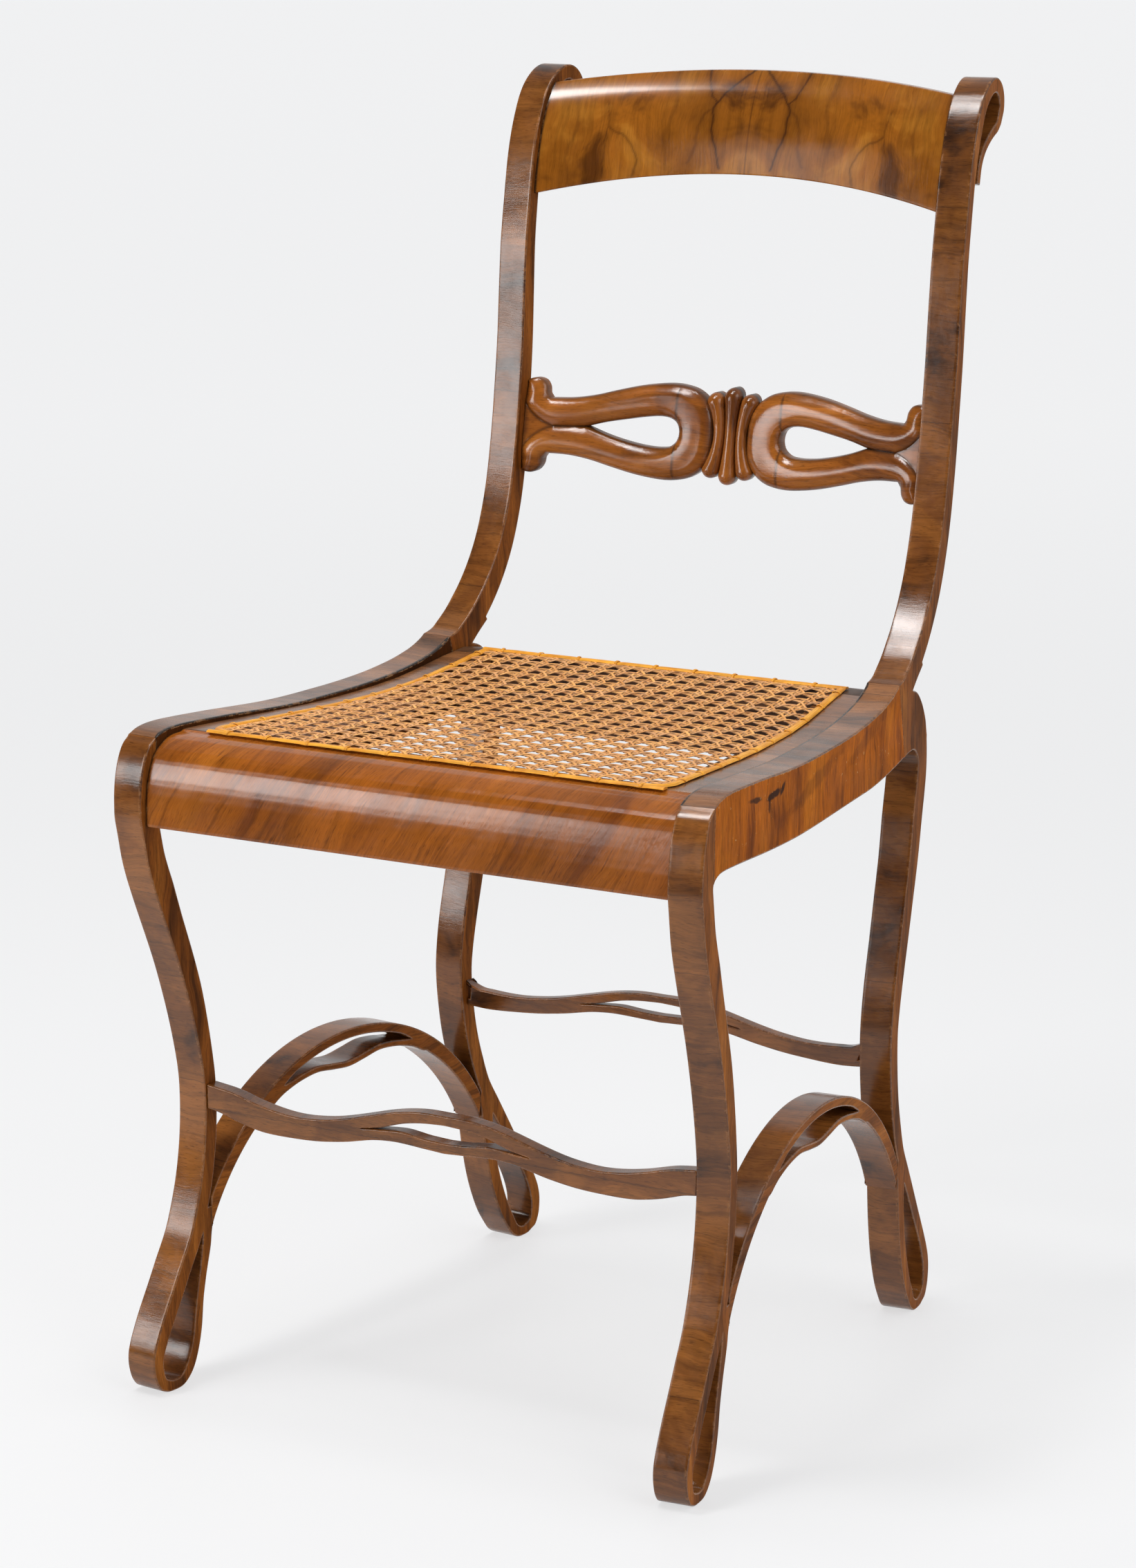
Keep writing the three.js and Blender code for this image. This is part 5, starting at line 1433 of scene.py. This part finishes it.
edge_in = BINDING_WIDTH / 2
front_edge, back_edge = cane_front + edge_in, cane_back - edge_in
half_front, half_back = float(cane_half(front_edge)), float(cane_half(back_edge))
bound_edge("cane_binding_front", [(-half_front + 0.002, front_edge), (half_front - 0.002, front_edge)],
           TIES_ACROSS, (0, 1))
bound_edge("cane_binding_rear", [(-half_back, back_edge), (half_back, back_edge)],
           [t for t in TIES_ACROSS if t < 2 * half_back], (0, 1))
for word, side in (("right", 1), ("left", -1)):
    corner = [(side * (half_front - across), front_edge + back) for across, back in BINDING_CORNER]
    bound_edge("cane_binding_" + word, corner + [(side * (half_back - edge_in), back_edge - edge_in)],
               TIES_BESIDE, (1, 0))

# Floor, light and camera
FLOOR_HALF = 30.0
FLOOR_LIT = (0.80, 0.80, 0.80)  # the floor's colour as a source of light
FLOOR_SEEN = 0.28               # and to the camera and in reflections, where it also glows
FLOOR_GLOW = (0.64, 0.73)       # near the chair and far from it
DAYLIGHT = (0.985, 0.99, 1.0, 1)
DARK_SIDE = (-0.45, -0.80, 0.38)
WORLD_BRIGHT, WORLD_DARK = 0.68, 0.05
LAMP_AIM = Vector((0.0, 0.0, 0.45))
LAMPS = [                       # azimuth from the front to the right, elevation, distance, size and radiance
    ("top", -36, 66, 2.2, (0.44, 0.60), 22.0),
    ("knee", -66, 83, 2.2, (0.30, 0.90), 13.5),
    ("panel", -35, 18, 2.94, (0.74, 0.96), 8.6),
    ("low", -48, 9, 3.0, (0.66, 0.60), 7.4),
    ("strip", -17, 4, 2.7, (0.3, 0.9), 4.0),
    ("fill", 72, 38, 2.6, (1.3, 1.3), 2.5),
]
CAMERA_PLACE = (1.4084, -2.4593, 1.0352)
CAMERA_AZIMUTH = math.radians(30.15)
CAMERA_ELEVATION = math.radians(12.68)
CAMERA_LENS = 97.299


def pale_floor():
    mesh = bpy.data.meshes.new("floor")
    corners = [(x * FLOOR_HALF, y * FLOOR_HALF, 0.0) for x, y in ((-1, -1), (1, -1), (1, 1), (-1, 1))]
    mesh.from_pydata(corners, [], [(0, 1, 2, 3)])
    floor = new_object("floor", mesh)
    r = Recipe("pale_floor")
    path = r.node("LightPath").outputs
    seen = r.math("MAXIMUM", path["Is Camera Ray"],
                  r.math("MAXIMUM", path["Is Glossy Ray"], path["Is Transmission Ray"]))
    place = r.node("TexCoord").outputs["Object"]
    away = r.node("VectorMath", {0: place}, operation="LENGTH").outputs["Value"]
    ahead = r.math("MAXIMUM", path["Is Camera Ray"],
                   r.span(r.part(place, 1), -2.0, -0.7, 0.10, 1.0))
    glow = r.times(r.times(r.span(away, 0.6, 5.0, *FLOOR_GLOW), ahead), seen)
    shown = r.node("CombineXYZ", {i: r.times(ahead, FLOOR_SEEN) for i in range(3)}).outputs[0]
    r.set(Roughness=0.6, Base_Color=r.mix(seen, FLOOR_LIT, shown), Specular_IOR_Level=0.1)
    light = r.node("Emission", {"Color": DAYLIGHT, "Strength": glow})
    both = r.node("AddShader", {0: r.shader.outputs[0], 1: light.outputs[0]})
    r.put(r.tree.nodes["Material Output"].inputs["Surface"], both.outputs[0])
    mesh.materials.append(r.material)


def surroundings():
    """A pale studio, dark round the lamps at the front left."""
    world = bpy.data.worlds.new("studio")
    bpy.context.scene.world = world
    world.use_nodes = True
    tree = world.node_tree
    place = tree.nodes.new("ShaderNodeTexCoord")
    nearness = tree.nodes.new("ShaderNodeVectorMath")
    nearness.operation = "DOT_PRODUCT"
    nearness.inputs[1].default_value = Vector(DARK_SIDE).normalized()
    tree.links.new(place.outputs["Generated"], nearness.inputs[0])
    side = tree.nodes.new("ShaderNodeMapRange")
    side.interpolation_type = "SMOOTHSTEP"
    for key, value in (("From Min", -0.05), ("From Max", 0.72), ("To Min", WORLD_BRIGHT), ("To Max", WORLD_DARK)):
        side.inputs[key].default_value = value
    tree.links.new(nearness.outputs["Value"], side.inputs["Value"])
    back = tree.nodes["Background"]
    tree.links.new(side.outputs["Result"], back.inputs["Strength"])
    back.inputs["Color"].default_value = DAYLIGHT


def lamp(name, azimuth, elevation, distance, size, radiance):
    """A softbox that is seen from the chair in a direction and faces it."""
    a, e = math.radians(azimuth), math.radians(elevation)
    way = Vector((math.sin(a) * math.cos(e), -math.cos(a) * math.cos(e), math.sin(e)))
    data = bpy.data.lights.new(name, "AREA")
    data.shape = "RECTANGLE"
    data.size, data.size_y = size
    data.energy = radiance * math.pi * size[0] * size[1]
    made = new_object(name, data)
    place = LAMP_AIM + distance * way
    made.location = place
    made.rotation_euler = (LAMP_AIM - place).to_track_quat("-Z", "Y").to_euler()


def photo_camera():
    data = bpy.data.cameras.new("camera")
    data.sensor_width = 36.0
    data.sensor_fit = "AUTO"
    data.lens = CAMERA_LENS
    data.clip_start, data.clip_end = 0.05, 100.0
    camera = new_object("camera", data)
    camera.location = CAMERA_PLACE
    camera.rotation_euler = (math.pi / 2 - CAMERA_ELEVATION, 0.0, CAMERA_AZIMUTH)
    bpy.context.scene.camera = camera


pale_floor()
surroundings()
for settings in LAMPS:
    lamp(*settings)
photo_camera()
bpy.context.scene.view_settings.view_transform = "Standard"
